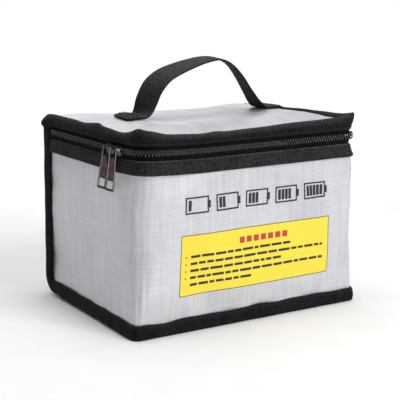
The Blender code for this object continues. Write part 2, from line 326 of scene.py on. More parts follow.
def relax_cloth(grid, pinned, pressure):
    """Lets a pinned sheet of cloth billow under a light pressure.

    Returns how far each point moves, at most BILLOW.
    """
    index, faces = grid_faces(*grid.shape[:2])
    obj = link_object("cloth_work", plain_mesh("cloth_work", grid.reshape(-1, 3), faces))
    group = obj.vertex_groups.new(name="sewn")
    group.add([int(i) for i in index[pinned]], 1.0, "REPLACE")
    cloth = obj.modifiers.new("cloth", "CLOTH")
    settings = cloth.settings
    settings.quality = 6
    settings.mass = 0.15
    settings.tension_stiffness = 20
    settings.compression_stiffness = 20
    settings.shear_stiffness = 8
    settings.bending_stiffness = 1.5
    settings.air_damping = 4
    settings.vertex_group_mass = "sewn"
    settings.use_pressure = True
    settings.uniform_pressure_force = pressure
    settings.shrink_min = -SLACK
    settings.effector_weights.gravity = 0
    cloth.collision_settings.use_collision = False
    scene = bpy.context.scene
    cloth.point_cache.frame_start, cloth.point_cache.frame_end = 1, SIMULATED_FRAMES
    for number in range(1, SIMULATED_FRAMES + 1):
        scene.frame_set(number)
    shaped = obj.evaluated_get(bpy.context.evaluated_depsgraph_get()).to_mesh()
    moved = np.empty(grid.size)
    shaped.vertices.foreach_get("co", moved)
    scene.frame_set(1)
    bpy.data.objects.remove(obj)
    moves = moved.reshape(grid.shape) - grid
    reach = np.linalg.norm(moves, axis=-1, keepdims=True)
    return moves * (BILLOW * np.tanh(reach / BILLOW) / np.maximum(reach, 1e-9))


# ---------------------------------------------------------------- materials

class Shader:
    """A short way to write a material's nodes."""

    def __init__(self, name):
        self.material = bpy.data.materials.new(name)
        self.material.use_nodes = True
        self.tree = self.material.node_tree
        self.surface = self.tree.nodes["Principled BSDF"]

    def put(self, node, key, value):
        socket = node.inputs[key]
        if isinstance(value, bpy.types.NodeSocket):
            self.tree.links.new(value, socket)
        elif isinstance(value, tuple) and len(value) == 3 and socket.type == "RGBA":
            socket.default_value = (*value, 1.0)
        else:
            socket.default_value = value

    def node(self, kind, inputs=None, output=0, **settings):
        node = self.tree.nodes.new(kind)
        for key, value in settings.items():
            setattr(node, key, value)
        for key, value in (inputs or {}).items():
            self.put(node, key, value)
        return node.outputs[output]

    def maths(self, operation, a, b=0.0):
        return self.node("ShaderNodeMath", {0: a, 1: b}, operation=operation)

    def times(self, a, b):
        return self.maths("MULTIPLY", a, b)

    def plus(self, a, b):
        return self.maths("ADD", a, b)

    def split(self, vector):
        """The x, y and z of a vector."""
        parts = self.tree.nodes.new("ShaderNodeSeparateXYZ")
        self.tree.links.new(vector, parts.inputs[0])
        return list(parts.outputs)

    def mix(self, share, a, b):
        """Colour a where share is 0 and b where it is 1."""
        node = self.tree.nodes.new("ShaderNodeMix")
        node.data_type = "RGBA"
        self.put(node, 0, share)
        self.put(node, 6, a)
        self.put(node, 7, b)
        return node.outputs[2]

    def spread(self, value, low, high, out_low=0.0, out_high=1.0):
        inputs = {0: value, 1: low, 2: high, 3: out_low, 4: out_high}
        return self.node("ShaderNodeMapRange", inputs)

    def cloth_uv(self):
        """The two lengths along the cloth, in metres."""
        return self.split(self.node("ShaderNodeUVMap", uv_map="cloth"))[:2]

    def noise(self, scale, detail=3.0, vector=None, rough=0.5):
        if vector is None:
            vector = self.node("ShaderNodeTexCoord", output=3)
        inputs = {"Vector": vector, "Scale": scale, "Detail": detail, "Roughness": rough}
        return self.node("ShaderNodeTexNoise", inputs)

    def streaks(self, vector, scales, detail=2.0, rough=0.5):
        """Noise with its own scale along each axis."""
        stretched = self.node("ShaderNodeMapping", {"Vector": vector, "Scale": scales})
        return self.noise(1.0, detail, stretched, rough)

    def wave(self, along, pitch):
        return self.maths("SINE", self.times(along, math.pi / pitch))

    def ridges(self, along, pitch):
        """1 on the crest of each thread and 0 between threads."""
        return self.maths("ABSOLUTE", self.wave(along, pitch))

    def bump(self, height, distance, strength=1.0, normal=None):
        inputs = {"Height": height, "Distance": distance, "Strength": strength}
        if normal is not None:
            inputs["Normal"] = normal
        return self.node("ShaderNodeBump", inputs)

    def painted_top_light(self, mottle, low=0.25, high=0.95):
        """How much paler a dark cloth is painted where it faces up: painted light from above, mottled."""
        upward = self.split(self.node("ShaderNodeNewGeometry", output=1))[2]
        share = self.spread(upward, low, high, 0.0, 0.75)
        return self.times(share, self.spread(mottle, 0.35, 0.65, 0.3, 1.0))

    def worn(self, ribs, mottle, patches, low, high):
        """Tone of a black ribbed cloth: painted highlights on its ribs and painted shade between them, and
        uneven where it is worn.
        """
        tone = self.times(self.spread(ribs, 0.15, 1.0, 0.1, 1.0), self.spread(mottle, 0.36, 0.62, low, high))
        return self.times(tone, self.spread(patches, 0.3, 0.7, 0.6, 1.1))

    def edge_wear_and_highlight(self, base, high, share, colour):
        """The base with its outer edges turned to another colour: worn edges, and on plated metal also a
        painted highlight.
        """
        edge = self.node("ShaderNodeNewGeometry", output=7)
        return self.mix(self.spread(edge, 0.53, high, 0.0, share), base, colour)

    def finish(self, **inputs):
        for key, value in inputs.items():
            self.put(self.surface, key.replace("_", " "), value)
        return self.material


def scaled(colour, factor):
    return tuple(factor * c for c in colour)


def silver_cloth(name, dark, light, metallic, roughness, weft_pitch=1.68 * MM, warp_pitch=1.45 * MM):
    """Aluminium-coated woven glass cloth: flat square cells, a cloudy sheen and faint long streaks painted
    into its tone, painted shade between the threads and a painted highlight on the threads that lie on top.
    """
    s = Shader(name)
    vector = s.node("ShaderNodeUVMap", uv_map="cloth")
    u, v = s.cloth_uv()
    warp, weft = s.ridges(u, warp_pitch), s.ridges(v, weft_pitch)
    cell = s.maths("POWER", s.times(warp, weft), 0.5)
    over_under = s.times(s.wave(u, warp_pitch), s.wave(v, weft_pitch))
    clouds = s.noise(19.0, 4.0)
    threads = s.streaks(vector, (300.0, 14.0, 1.0), 3.0, 0.6)
    picks = s.streaks(vector, (20.0, 420.0, 1.0))
    # the clouds and streaks of tone are a painted sheen
    tone = s.plus(s.times(clouds, 0.4), s.times(threads, 0.4))
    tone = s.spread(s.plus(tone, s.times(picks, 0.2)), 0.38, 0.62)
    base = s.mix(tone, dark, light)
    # painted shade between the threads
    base = s.mix(s.spread(weft, 0.0, 0.75, 0.34, 0.0), base, scaled(dark, 0.55))
    base = s.mix(s.spread(warp, 0.0, 0.55, 0.22, 0.0), base, scaled(dark, 0.6))
    # painted highlight on the threads that lie on top
    base = s.mix(s.spread(over_under, 0.2, 1.0, 0.0, 0.22), base, (0.95, 0.95, 0.98))
    height = s.plus(cell, s.times(over_under, 0.35))
    dents = s.noise(85.0, 5.0, rough=0.6)
    soft = s.bump(s.plus(dents, threads), 0.45 * MM, 0.6)
    normal = s.bump(height, 0.2 * MM, 0.6, soft)
    rough = s.spread(clouds, 0.3, 0.7, roughness - 0.07, roughness + 0.08)
    return s.finish(Base_Color=base, Metallic=metallic, Roughness=rough, Normal=normal)


def ribbed_tape(name, dark, light, rib, roughness=0.85, rib_bump=0.14 * MM, top_light_facing=(0.25, 0.95), top_light_tone=2.4):
    """Grosgrain: ribs across the tape and finer threads along it, with painted highlights on the ribs and
    painted shade between them, painted light on the faces that look up, and its edges worn to a paler tone.
    """
    s = Shader(name)
    u, v = s.cloth_uv()
    ribs = s.ridges(u, rib)
    threads = s.ridges(v, rib * 0.7)
    mottle = s.noise(520.0, 3.0, rough=0.6)
    patches = s.noise(60.0, 3.0)
    height = s.plus(ribs, s.times(threads, 0.35))
    # painted highlight on each rib and painted shade between the ribs, with uneven wear
    base = s.mix(s.worn(ribs, mottle, patches, 0.15, 1.2), dark, light)
    # painted light from above: faces that look up are painted paler
    base = s.mix(s.painted_top_light(mottle, *top_light_facing), base, scaled(light, top_light_tone))
    base = s.edge_wear_and_highlight(base, 0.62, 0.3, scaled(light, 1.8))
    normal = s.bump(height, rib_bump, 0.9, s.bump(patches, 0.4 * MM, 0.4))
    return s.finish(Base_Color=base, Roughness=roughness, Normal=normal, Sheen_Weight=0.03,
                    Sheen_Roughness=0.5, Specular_IOR_Level=0.08)


def webbing_cloth(name):
    """Heavy webbing: a herringbone of slanted ribs."""
    s = Shader(name)
    u, v = s.cloth_uv()
    slant = s.maths("PINGPONG", v, 3.1 * MM)
    ribs = s.ridges(s.plus(u, s.times(slant, 0.8)), 1.5 * MM)
    cross = s.ridges(v, 1.1 * MM)
    mottle = s.noise(480.0, 3.0, rough=0.6)
    patches = s.noise(45.0, 3.0)
    # painted highlight on each rib and painted shade between the ribs, with uneven wear
    base = s.mix(s.worn(ribs, mottle, patches, 0.2, 1.1), (0.003, 0.0028, 0.0034), (0.030, 0.0275, 0.034))
    # painted light from above: faces that look up are painted paler
    base = s.mix(s.painted_top_light(mottle), base, (0.075, 0.068, 0.064))
    height = s.plus(ribs, s.times(cross, 0.5))
    normal = s.bump(height, 0.2 * MM, 0.9)
    return s.finish(Base_Color=base, Roughness=0.78, Normal=normal, Sheen_Weight=0.04, Sheen_Roughness=0.5,
                    Specular_IOR_Level=0.1)


def nylon_coil(name):
    """Black nylon thread: the strands that face outward are painted paler and given specular, as painted
    light, and the inner strands are painted near black, as painted shade.
    """
    s = Shader(name)
    outward = s.cloth_uv()[1]
    patches = s.noise(300.0, 2.0)
    lit = s.mix(s.spread(patches, 0.3, 0.7), (0.13, 0.13, 0.133), (0.20, 0.20, 0.205))
    # painted shade on the inner strands, painted light on the outward ones
    base = s.mix(s.spread(outward, 0.75, 1.0), (0.0008, 0.0008, 0.0008), lit)
    return s.finish(Base_Color=base, Roughness=0.4, Specular_IOR_Level=s.spread(outward, 0.7, 1.0, 0.0, 0.5))


def plated_metal(name, dark, light, roughness, painted_reflection=None, edge_wear_and_highlight_share=0.0):
    """Dark nickel plate with fine scratches. polished is a painted reflection: the bright tone painted on the
    faces that look to the front, towards the lamps.
    """
    s = Shader(name)
    patches = s.noise(120.0, 4.0)
    scratches = s.streaks(s.node("ShaderNodeTexCoord", output=3), (900.0, 2600.0, 260.0))
    base = s.mix(s.spread(patches, 0.35, 0.65), dark, light)
    if painted_reflection is not None:
        facing = s.split(s.node("ShaderNodeTexCoord", output=1))[1]
        # painted reflection: faces that look to the front (-Y) are painted bright
        base = s.mix(s.spread(facing, -0.45, -0.8), base, painted_reflection)
    # worn edges and painted highlight: the metal's edges are painted bright
    base = s.edge_wear_and_highlight(base, 0.64, edge_wear_and_highlight_share, (0.78, 0.74, 0.70))
    rough = s.spread(scratches, 0.3, 0.7, roughness - 0.05, roughness + 0.12)
    normal = s.bump(scratches, 0.03 * MM, 0.25)
    return s.finish(Base_Color=base, Metallic=1.0, Roughness=rough, Normal=normal)


def closed_cell_foam(name):
    s = Shader(name)
    cells = s.node("ShaderNodeTexVoronoi", {"Vector": s.node("ShaderNodeTexCoord", output=3), "Scale": 900.0})
    base = s.mix(s.spread(cells, 0.0, 0.8), (0.86, 0.86, 0.84), (0.70, 0.70, 0.68))
    normal = s.bump(cells, 0.2 * MM, 0.6)
    return s.finish(Base_Color=base, Roughness=0.9, Normal=normal, Subsurface_Weight=0.05)


def printed_ink(name, colour, wear, pitch=1.45 * MM):
    """A layer of ink that shows the weave under it and has tiny skips."""
    s = Shader(name)
    u, v = s.cloth_uv()
    cell = s.maths("POWER", s.times(s.ridges(u, pitch), s.ridges(v, pitch)), 0.45)
    clouds = s.noise(22.0, 4.0)
    skips = s.noise(700.0, 3.0)
    worn = tuple(min(1.0, 0.5 * c + 0.36) for c in colour)
    base = s.mix(s.spread(clouds, 0.3, 0.75, 0.0, 0.22), colour, scaled(colour, 0.86))
    # darker between the threads: painted shade in the weave's hollows
    base = s.mix(s.spread(cell, 0.2, 0.8, 0.22, 0.0), base, scaled(colour, 0.62))
    base = s.mix(s.spread(skips, 0.68, 0.8, 0.0, wear), base, worn)
    normal = s.bump(cell, 0.14 * MM, 0.4, s.bump(s.noise(85.0, 5.0, rough=0.6), 0.5 * MM, 0.4))
    return s.finish(Base_Color=base, Roughness=s.spread(clouds, 0.3, 0.7, 0.45, 0.6), Normal=normal)


def sewing_thread(name):
    s = Shader(name)
    twist = s.noise(2600.0, 2.0)
    base = s.mix(s.spread(twist, 0.3, 0.7), (0.006, 0.006, 0.0065), (0.032, 0.032, 0.034))
    normal = s.bump(twist, 0.05 * MM, 0.6)
    return s.finish(Base_Color=base, Roughness=0.7, Normal=normal, Specular_IOR_Level=0.15)


def studio_floor(name):
    """White paint that fades into the white room a little way off, as the camera sees it."""
    s = Shader(name)
    grain = s.noise(30.0, 3.0)
    base = s.mix(s.spread(grain, 0.3, 0.7), (0.90, 0.90, 0.905), (0.925, 0.925, 0.925))
    s.finish(Base_Color=base, Roughness=0.9)
    place = s.node("ShaderNodeTexCoord", output=3)
    distance = s.node("ShaderNodeVectorMath", {0: place}, output=1, operation="LENGTH")
    far = s.node("ShaderNodeMapRange", {0: distance, 1: 0.3, 2: 1.1}, interpolation_type="SMOOTHSTEP")
    share = s.times(far, s.node("ShaderNodeLightPath"))
    glow = s.node("ShaderNodeEmission", {"Color": (1.0, 1.0, 1.0), "Strength": 1.0})
    mixed = s.node("ShaderNodeMixShader", {0: share, 1: s.surface.outputs[0], 2: glow})
    s.tree.links.new(mixed, s.tree.nodes["Material Output"].inputs[0])
    return s.material


SILVER = silver_cloth("silver_cloth", (0.58, 0.585, 0.615), (0.75, 0.75, 0.785), 0.45, 0.40)
LINING_CLOTH = silver_cloth("silver_lining", (0.42, 0.425, 0.44), (0.60, 0.60, 0.62), 0.4, 0.5,
                            1.1 * MM, 1.1 * MM)
GROSGRAIN = ribbed_tape("black_grosgrain", (0.0025, 0.0025, 0.0028), (0.020, 0.0196, 0.021), 1.6 * MM)
BAND_TAPE = ribbed_tape("black_band_tape", (0.006, 0.006, 0.0064), (0.050, 0.050, 0.052), 1.6 * MM)
# the rim tape gets more painted light from above on its top than the other tapes
RIM_TAPE = ribbed_tape("black_rim_tape", (0.0025, 0.0025, 0.0028), (0.021, 0.0198, 0.0215), 1.6 * MM,
                       top_light_facing=(0.0, 0.8), top_light_tone=3.4)
ZIP_TAPE = ribbed_tape("black_zip_tape", (0.001, 0.001, 0.001), (0.008, 0.008, 0.0083), 1.2 * MM, 0.9,
                       0.08 * MM)
WEBBING = webbing_cloth("black_webbing")
COIL = nylon_coil("black_nylon_coil")
# the third colour of METAL and RAIL is a painted reflection on the faces that look to the front
METAL = plated_metal("gunmetal_plate", (0.022, 0.020, 0.018), (0.07, 0.063, 0.057), 0.16,
                     (0.42, 0.40, 0.37), 0.1)
RAIL = plated_metal("bright_nickel_plate", (0.020, 0.019, 0.018), (0.06, 0.056, 0.053), 0.2,
                    (0.34, 0.325, 0.30))
PLATE = plated_metal("brown_nickel_plate", (0.085, 0.062, 0.062), (0.13, 0.098, 0.095), 0.38)
FOAM = closed_cell_foam("foam_padding")
YELLOW = printed_ink("yellow_ink", (0.97, 0.76, 0.055), 0.22)
BROWN = printed_ink("brown_ink", (0.085, 0.05, 0.02), 0.2)
BLACK_INK = printed_ink("black_ink", (0.016, 0.016, 0.017), 0.3)
RED_INK = printed_ink("red_ink", (0.55, 0.05, 0.03), 0.2)
THREAD = sewing_thread("black_thread")


# ---------------------------------------------------------------- the three wrapped sides

SIDE_POINTS, ARC_POINTS, FRONT_POINTS = 40, 15, 56


def round_corner(radius):
    """A quarter circle from the left side to the front, from the corner of the box."""
    angles = np.linspace(0, math.pi / 2, ARC_POINTS)
    return np.stack([radius - radius * np.cos(angles), radius - radius * np.sin(angles)], axis=1)


def creased_corner():
    """A pressed-in corner: it turns sharply at the left side and then slowly to the front."""
    run = np.linspace(0, 1, 200)
    angles = np.radians(42 * smooth(0, 0.09, run) + 48 * run)
    steps = np.stack([np.sin(angles), -np.cos(angles)], axis=1) * (30 * MM / 200)
    points = np.cumsum(steps, axis=0)
    points += [-0.9 * MM, -points[-1, 1]]
    return resample(points, ARC_POINTS)


def corners_at(z):
    """The left and right front corners at height z, each from its side to the front."""
    rise = float(smooth(5 * MM, 62 * MM, z))
    top = float(smooth(100 * MM, 128 * MM, z))
    left = round_corner(FOOT_ROUND) * (1 - rise) + creased_corner() * rise
    left = left * (1 - top) + round_corner(CORNER_MOUTH) * top
    right = round_corner(FOOT_ROUND + 5.5 * MM * rise)
    return left, right


def outline(corners, y_back):
    """(x, y) points round the left side, the front and the right side."""
    halves = []
    for corner in corners:
        arc = corner + [-HALF_X, FRONT_Y]
        start = np.linspace(0, 1, SIDE_POINTS, endpoint=False)[:, None]
        ease = smooth(0.55, 1.0, start)
        x = -HALF_X * (1 - ease) + arc[0, 0] * ease
        side = np.hstack([x, (1 - start) * y_back + start * arc[0, 1]])
        halves.append(np.vstack([side, arc]))
    left, right = halves[0], halves[1][::-1] * [-1, 1]
    middle = np.linspace(left[-1], right[0], FRONT_POINTS + 2)[1:-1]
    return np.vstack([left, middle, right])


def back_end(z):
    """How far back a side wall reaches at height z, round its lower back corner."""
    drop = max(0.0, BACK_ROUND - z)
    return BACK_Y - BACK_ROUND + math.sqrt(BACK_ROUND ** 2 - drop ** 2)


def wrap_grid(heights):
    outlines = [outline(corners_at(z), back_end(z)) for z in heights]
    return np.array([np.column_stack([flat, np.full(len(flat), z)]) for flat, z in zip(outlines, heights)])


def wrap_uv(grid):
    uv = np.zeros(grid.shape[:2] + (2,))
    middle = SIDE_POINTS + ARC_POINTS + FRONT_POINTS // 2
    for i, row in enumerate(grid):
        lengths = arc_lengths(row[:, :2])
        uv[i, :, 0] = lengths - lengths[middle] + row[middle, 0]
        uv[i, :, 1] = row[:, 2]
    return uv


def wrap_dents(grid, normals):
    """Soft hollows and gathers that a used cloth has."""
    z = grid[..., 2]
    hem = smooth(4 * MM, 26 * MM, z) * smooth(BAND_LOW + 1 * MM, BAND_LOW - 20 * MM, z)
    large = 0.75 * MM * field(grid, 78 * MM, 11) * hem
    small = 0.22 * MM * field(grid, 21 * MM, 12) * hem
    lengths = wrap_uv(grid)[..., 0]
    pleats = np.sin(lengths * 2 * math.pi / (6.5 * MM) + 2.2 * field(grid, 40 * MM, 13))
    gathers = 0.20 * MM * pleats * smooth(BAND_LOW - 26 * MM, BAND_LOW, z)
    corner = near(np.abs(grid[..., 0]), HALF_X, 16 * MM) * near(grid[..., 1], FRONT_Y, 16 * MM)
    folds = np.sin(lengths * 2 * math.pi / (5.2 * MM) + 1.2 * field(grid, 60 * MM, 14))
    folds = 0.35 * MM * folds * corner * hem
    return normals * (large + small + gathers + folds)[..., None]


def build_wrap():
    heights = np.concatenate([np.linspace(RAW_EDGE, CLOTH_TOP, 44), [CLOTH_TOP + 3.5 * MM, PADDING_TOP]])
    ideal = wrap_grid(heights)
    held = (ideal[..., 2] < 8 * MM) | (ideal[..., 2] > BAND_LOW + 1 * MM) | (ideal[..., 1] > BACK_Y - 9 * MM)
    held |= (np.abs(ideal[..., 0]) > HALF_X - 12 * MM) & (ideal[..., 1] < FRONT_Y + 12 * MM)
    moves = relax_cloth(ideal, held, pressure=0.5)
    outer = settle(ideal + moves + wrap_dents(ideal, grid_normals(ideal)))
    normals = grid_normals(outer)
    uv = wrap_uv(ideal)
    rows = slice(len(heights) - 2)
    cloth = shell_mesh("side_cloth", outer[rows], (outer - normals * CLOTH)[rows], uv[rows], SILVER)
    dress(cloth, "silver_cloth", "bag_body", "wrap_outer_cloth")
    # what lies inside stops short of the back cloth
    core = outer.copy()
    from_end = np.minimum(np.arange(outer.shape[1]), np.arange(outer.shape[1])[::-1])
    core[..., 1] -= 1.3 * MM * (1 - smooth(0, 6, from_end))
    deep = CLOTH + GAP
    for name, thickness, material, slot, node in (
            ("side_padding", PADDING, FOAM, "foam_padding", "wrap_padding"),
            ("side_lining", LINING, LINING_CLOTH, "silver_lining", "wrap_lining")):
        piece = shell_mesh(name, core - normals * deep, core - normals * (deep + thickness), uv, material)
        dress(piece, slot, "bag_body", node)
        deep += thickness + GAP
    return outer[rows], uv[rows]


# ---------------------------------------------------------------- bottom, back and lid in one length

def front_curve(x, half_width, radius):
    """How far back from the straight front edge the rounded front corners cut, at x."""
    over = np.maximum(np.abs(x) - (half_width - radius), 0)
    return radius - np.sqrt(np.maximum(radius ** 2 - over ** 2, 0))


def long_grid(inset, side_inset, columns, step):
    """Rows run from the bottom's front edge, back, up the back and forward over the lid.

    Returns the grid, and for each row where it is: 0 bottom, 1 back, 2 lid.
    """
    half_width = HALF_X - side_inset
    x = np.linspace(-half_width, half_width, columns)
    bottom_front = FRONT_Y + side_inset + front_curve(x, half_width, CORNER_FLOOR)
    lid_front = FRONT_Y + side_inset + front_curve(x, half_width, CORNER_MOUTH)
    low, top, back = inset, LID_SHEET_Z - inset, BACK_Y - inset
    bend, fold = BACK_ROUND - inset, max(LID_BEND - inset, 0.6 * MM)
    rows, part = [], []

    def add(place, y, z):
        rows.append(np.column_stack([x, np.broadcast_to(y, columns), np.broadcast_to(z, columns)]))
        part.append(place)

    quarter, across = np.linspace(0, math.pi / 2, 9)[1:], np.linspace(0, 1, int(2 * BACK_Y / step))
    for t in across:
        add(0, bottom_front * (1 - t) + (back - bend) * t, low)
    for a in quarter:
        add(1, back - bend + bend * math.sin(a), low + bend - bend * math.cos(a))
    for t in np.linspace(0, 1, int((top - BACK_ROUND) / step))[1:]:
        add(1, back, (low + bend) * (1 - t) + (top - fold) * t)
    for a in quarter:
        add(2, back - fold + fold * math.cos(a), top - fold + fold * math.sin(a))
    for t in across[1:]:
        add(2, (back - fold) * (1 - t) + lid_front * t, top)
    return np.array(rows), np.array(part)


def long_normals(grid):
    """Unit normals of a grid of the long cloth, out of the bag."""
    normals = grid_normals(grid)
    return -normals if normals[0, grid.shape[1] // 2][2] > 0 else normals


def long_uv(grid):
    lengths = arc_lengths(grid[:, grid.shape[1] // 2, 1:])
    return np.stack([grid[..., 0], np.broadcast_to(lengths[:, None], grid.shape[:2])], axis=-1)


def lid_crown(points):
    """How far the lid's cloth stands over its sewn edge: raised in the middle, where the handle pulls it."""
    x, y = points[..., 0], points[..., 1]
    inside_x = smooth(HALF_X, HALF_X - 38 * MM, np.abs(x))
    inside_front = smooth(FRONT_Y, FRONT_Y + 42 * MM, y)
    inside_back = smooth(BACK_Y + 4 * MM, BACK_Y - 46 * MM, y)
    crown = 3.9 * MM * inside_x * inside_front * inside_back
    crown = crown - 3.4 * MM * smooth(20 * MM, BACK_Y, y) * smooth(-110 * MM, 10 * MM, x)
    for side in (-1, 1):
        tail_x = HANDLE_X + side * (TAIL_REACH + 2 * MM)
        crown = crown + 0.7 * MM * near(x, tail_x, 14 * MM) * near(y, 0, 16 * MM)
    return crown


class ClothMoves:
    """How far the cloth of bottom, back and lid has moved from its ideal shape, at any place beside it."""

    def __init__(self, ideal, shaped):
        middle = ideal.shape[1] // 2
        self.x, self.run = ideal[0, :, 0], self.along(ideal[:, middle])
        self.moves = shaped - ideal

    @staticmethod
    def along(points):
        """A distance that grows from the bottom's front edge, up the back and forward over the lid."""
        y, z = points[..., 1], points[..., 2]
        return z + np.where(z < LID_Z / 2, y, 2 * BACK_Y - y)

    def at(self, points):
        column = np.interp(points[..., 0], self.x, np.arange(len(self.x)))
        row = np.interp(self.along(points), self.run, np.arange(len(self.run)))
        i = np.minimum(row.astype(int), len(self.run) - 2)
        j = np.minimum(column.astype(int), len(self.x) - 2)
        a, b = (row - i)[..., None], (column - j)[..., None]
        return ((1 - a) * ((1 - b) * self.moves[i, j] + b * self.moves[i, j + 1])
                + a * ((1 - b) * self.moves[i + 1, j] + b * self.moves[i + 1, j + 1]))

    def lid_height(self, x, y):
        """Height of the lid cloth's upper face."""
        flat = np.stack([x, y, np.full_like(x, LID_SHEET_Z)], axis=-1)
        return flat[..., 2] + self.at(flat)[..., 2]


def build_long_cloth():
    grid, part = long_grid(0.0, RAW_EDGE, 50, 4.4 * MM)
    flat = grid.copy()
    lid = (part == 2)[:, None] & np.ones(grid.shape[1], bool)[None]
    grid[..., 2] += lid_crown(grid) * smooth(LID_Z - 8 * MM, LID_Z - 1.6 * MM, grid[..., 2]) * lid
    held = np.zeros(grid.shape[:2], bool)
    held[:, :2] = held[:, -2:] = True
    held[:2] = held[-3:] = True
    beside_tails = np.abs(np.abs(grid[..., 0] - HANDLE_X) - TAIL_REACH) < 11 * MM
    held |= lid & (np.abs(grid[..., 1]) < 11 * MM) & beside_tails
    moves = relax_cloth(grid, held, pressure=0.4)
    shaped = grid + moves
    edge = smooth(0, 16 * MM, HALF_X - np.abs(grid[..., 0])) * smooth(3 * MM, 22 * MM, grid[..., 1] - FRONT_Y)
    dents = 0.6 * MM * field(grid, 84 * MM, 21) + 0.2 * MM * field(grid, 24 * MM, 22)
    shaped = shaped + long_normals(grid) * (dents * edge)[..., None]
    shaped[..., 2] = np.maximum(shaped[..., 2], 0.0)
    outer = settle(shaped)
    inner = outer - long_normals(outer) * CLOTH
    cloth = make_outward(shell_mesh("bottom_back_lid_cloth", outer, inner, long_uv(flat), SILVER))
    dress(cloth, "silver_cloth", None, "back_bottom_outer_cloth", "lid_outer_cloth")
    bend_at_hinge(cloth)
    return ClothMoves(flat, shaped)


def bend_at_hinge(piece):
    """Bakes the piece's placement into its mesh.
    """
    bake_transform(piece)


def build_long_inner(moves):
    """Padding of the bottom and back, padding of the lid, and one length of lining inside both."""
    deep = CLOTH + GAP
    grid, part = long_grid(deep, WALL, 26, 9 * MM)
    grid += moves.at(grid)
    uv = long_uv(grid)
    outer, inner = settle(grid), settle(grid - long_normals(grid) * PADDING)
    on_lid = (part == 2) & (grid[:, 0, 1] < BACK_Y - 6 * MM)
    for name, node, body, rows in (("bottom_back_padding", "back_bottom_padding", "bag_body", part < 2),
                                   ("lid_padding_sheet", "lid_padding", "lid", on_lid)):
        padding = make_outward(shell_mesh(name, outer[rows], inner[rows], uv[rows], FOAM))
        dress(padding, "foam_padding", body, node)
    build_long_lining(deep + PADDING + GAP, moves)


def build_long_lining(deep, moves):
    grid, _ = long_grid(deep, WALL + GAP, 40, 6 * MM)
    grid += moves.at(grid)
    normals = long_normals(grid)
    hang = 0.3 * MM + 0.2 * MM * field(grid, 55 * MM, 31) + 0.1 * MM * field(grid, 17 * MM, 32)
    grid = grid - normals * hang[..., None]
    outer, inner = settle(grid), settle(grid - normals * LINING)
    lining = make_outward(shell_mesh("bottom_back_lid_lining", outer, inner, long_uv(grid), LINING_CLOTH))
    dress(lining, "silver_lining", None, "back_bottom_lining", "lid_lining")
    bend_at_hinge(lining)


# ---------------------------------------------------------------- tapes and bindings

TAPE_STEP = 2.6 * MM

def tape_profile(width, thick_fold, thick_edge, swell, steps=7):
    """A folded tape's section: (distance in from the folded edge, distance out from the wall)."""
    fold = [(thick_fold / 2 - thick_fold / 2 * math.cos(a), thick_fold / 2 * (1 + math.sin(a)))
            for a in np.linspace(-math.pi / 2, math.pi / 2, steps)]
    flat = [(width * t, thick_fold + (thick_edge - thick_fold) * t + swell * math.sin(math.pi * t))
            for t in (0.25, 0.4, 0.55, 0.7, 0.85)]
    edge = [(width - thick_edge / 2 + thick_edge / 2 * math.cos(a), thick_edge / 2 * (1 + math.sin(a)))
            for a in np.linspace(math.pi / 2, -math.pi / 2, 5)]
    under = [(width * t, 0.0) for t in (0.7, 0.4)]
    return np.array(fold + flat + edge + under)


def binding_path(step=TAPE_STEP):
    """Stations along the folded edge: point, direction in across the wall, outward normal."""
    stations = []

    def add(point, inward, normal):
        stations.append((np.array(point, float), np.array(inward, float), np.array(normal, float)))

    for z in np.arange(BINDING_TOP - 4 * MM, BACK_ROUND, -step):
        add((-HALF_X, BACK_Y, z), (0, -1, 0), (-1, 0, 0))
    for a in np.linspace(0, math.pi / 2, 12):
        c, s = math.cos(a), math.sin(a)
        add((-HALF_X, BACK_Y - BACK_ROUND * (1 - c), BACK_ROUND * (1 - s)), (0, -c, s), (-1, 0, 0))
    for y in np.arange(BACK_Y - BACK_ROUND - step, FRONT_Y + CORNER_FLOOR, -step):
        add((-HALF_X, y, 0), (0, 0, 1), (-1, 0, 0))
    r = CORNER_FLOOR
    for a in np.linspace(0, math.pi / 2, 9):
        c, s = math.cos(a), math.sin(a)
        add((-HALF_X + r - r * c, FRONT_Y + r - r * s, 0), (0, 0, 1), (-c, -s, 0))
    for x in np.arange(-HALF_X + CORNER_FLOOR + step, -step / 4, step):
        add((x, FRONT_Y, 0), (0, 0, 1), (0, -1, 0))
    mirror = np.array([-1, 1, 1])
    right = [(p * mirror, i * mirror, n * mirror) for p, i, n in reversed(stations)]
    return stations + right


def build_edge_binding():
    stations = binding_path()
    profile = tape_profile(BINDING_WIDTH, 2.4 * MM, 1.2 * MM, 1.1 * MM)
    points = np.array([p for p, _, _ in stations])
    waver = field(points, 34 * MM, 41)
    wobble = field(points, 19 * MM, 42)
    rings, seam = [], []
    for (point, inward, normal), a, b in zip(stations, waver, wobble):
        beside_zip = near(point[2], ZIP_Z, 10 * MM)
        width = 1 + 0.045 * a * (1 - beside_zip) - 0.095 * beside_zip
        out = GAP + 0.18 * MM * (1 + b)
        ring = [point + inward * (s * width) + normal * (out + t) for s, t in profile]
        rings.append(ring)
        stitch = BINDING_WIDTH * width - 1.9 * MM
        seam.append(point + inward * stitch + normal * (out + 1.85 * MM))
    rings = settle(rings)
    rings[..., 2] = np.maximum(rings[..., 2], 0.0)
    piece = sweep_mesh("edge_binding_tape", rings, arc_lengths(points), ring_lengths(profile), GROSGRAIN)
    dress(piece, "black_grosgrain", "bag_body", "body_edge_binding")
    normals = np.array([n for _, _, n in stations])
    return settle(np.array(seam)), normals


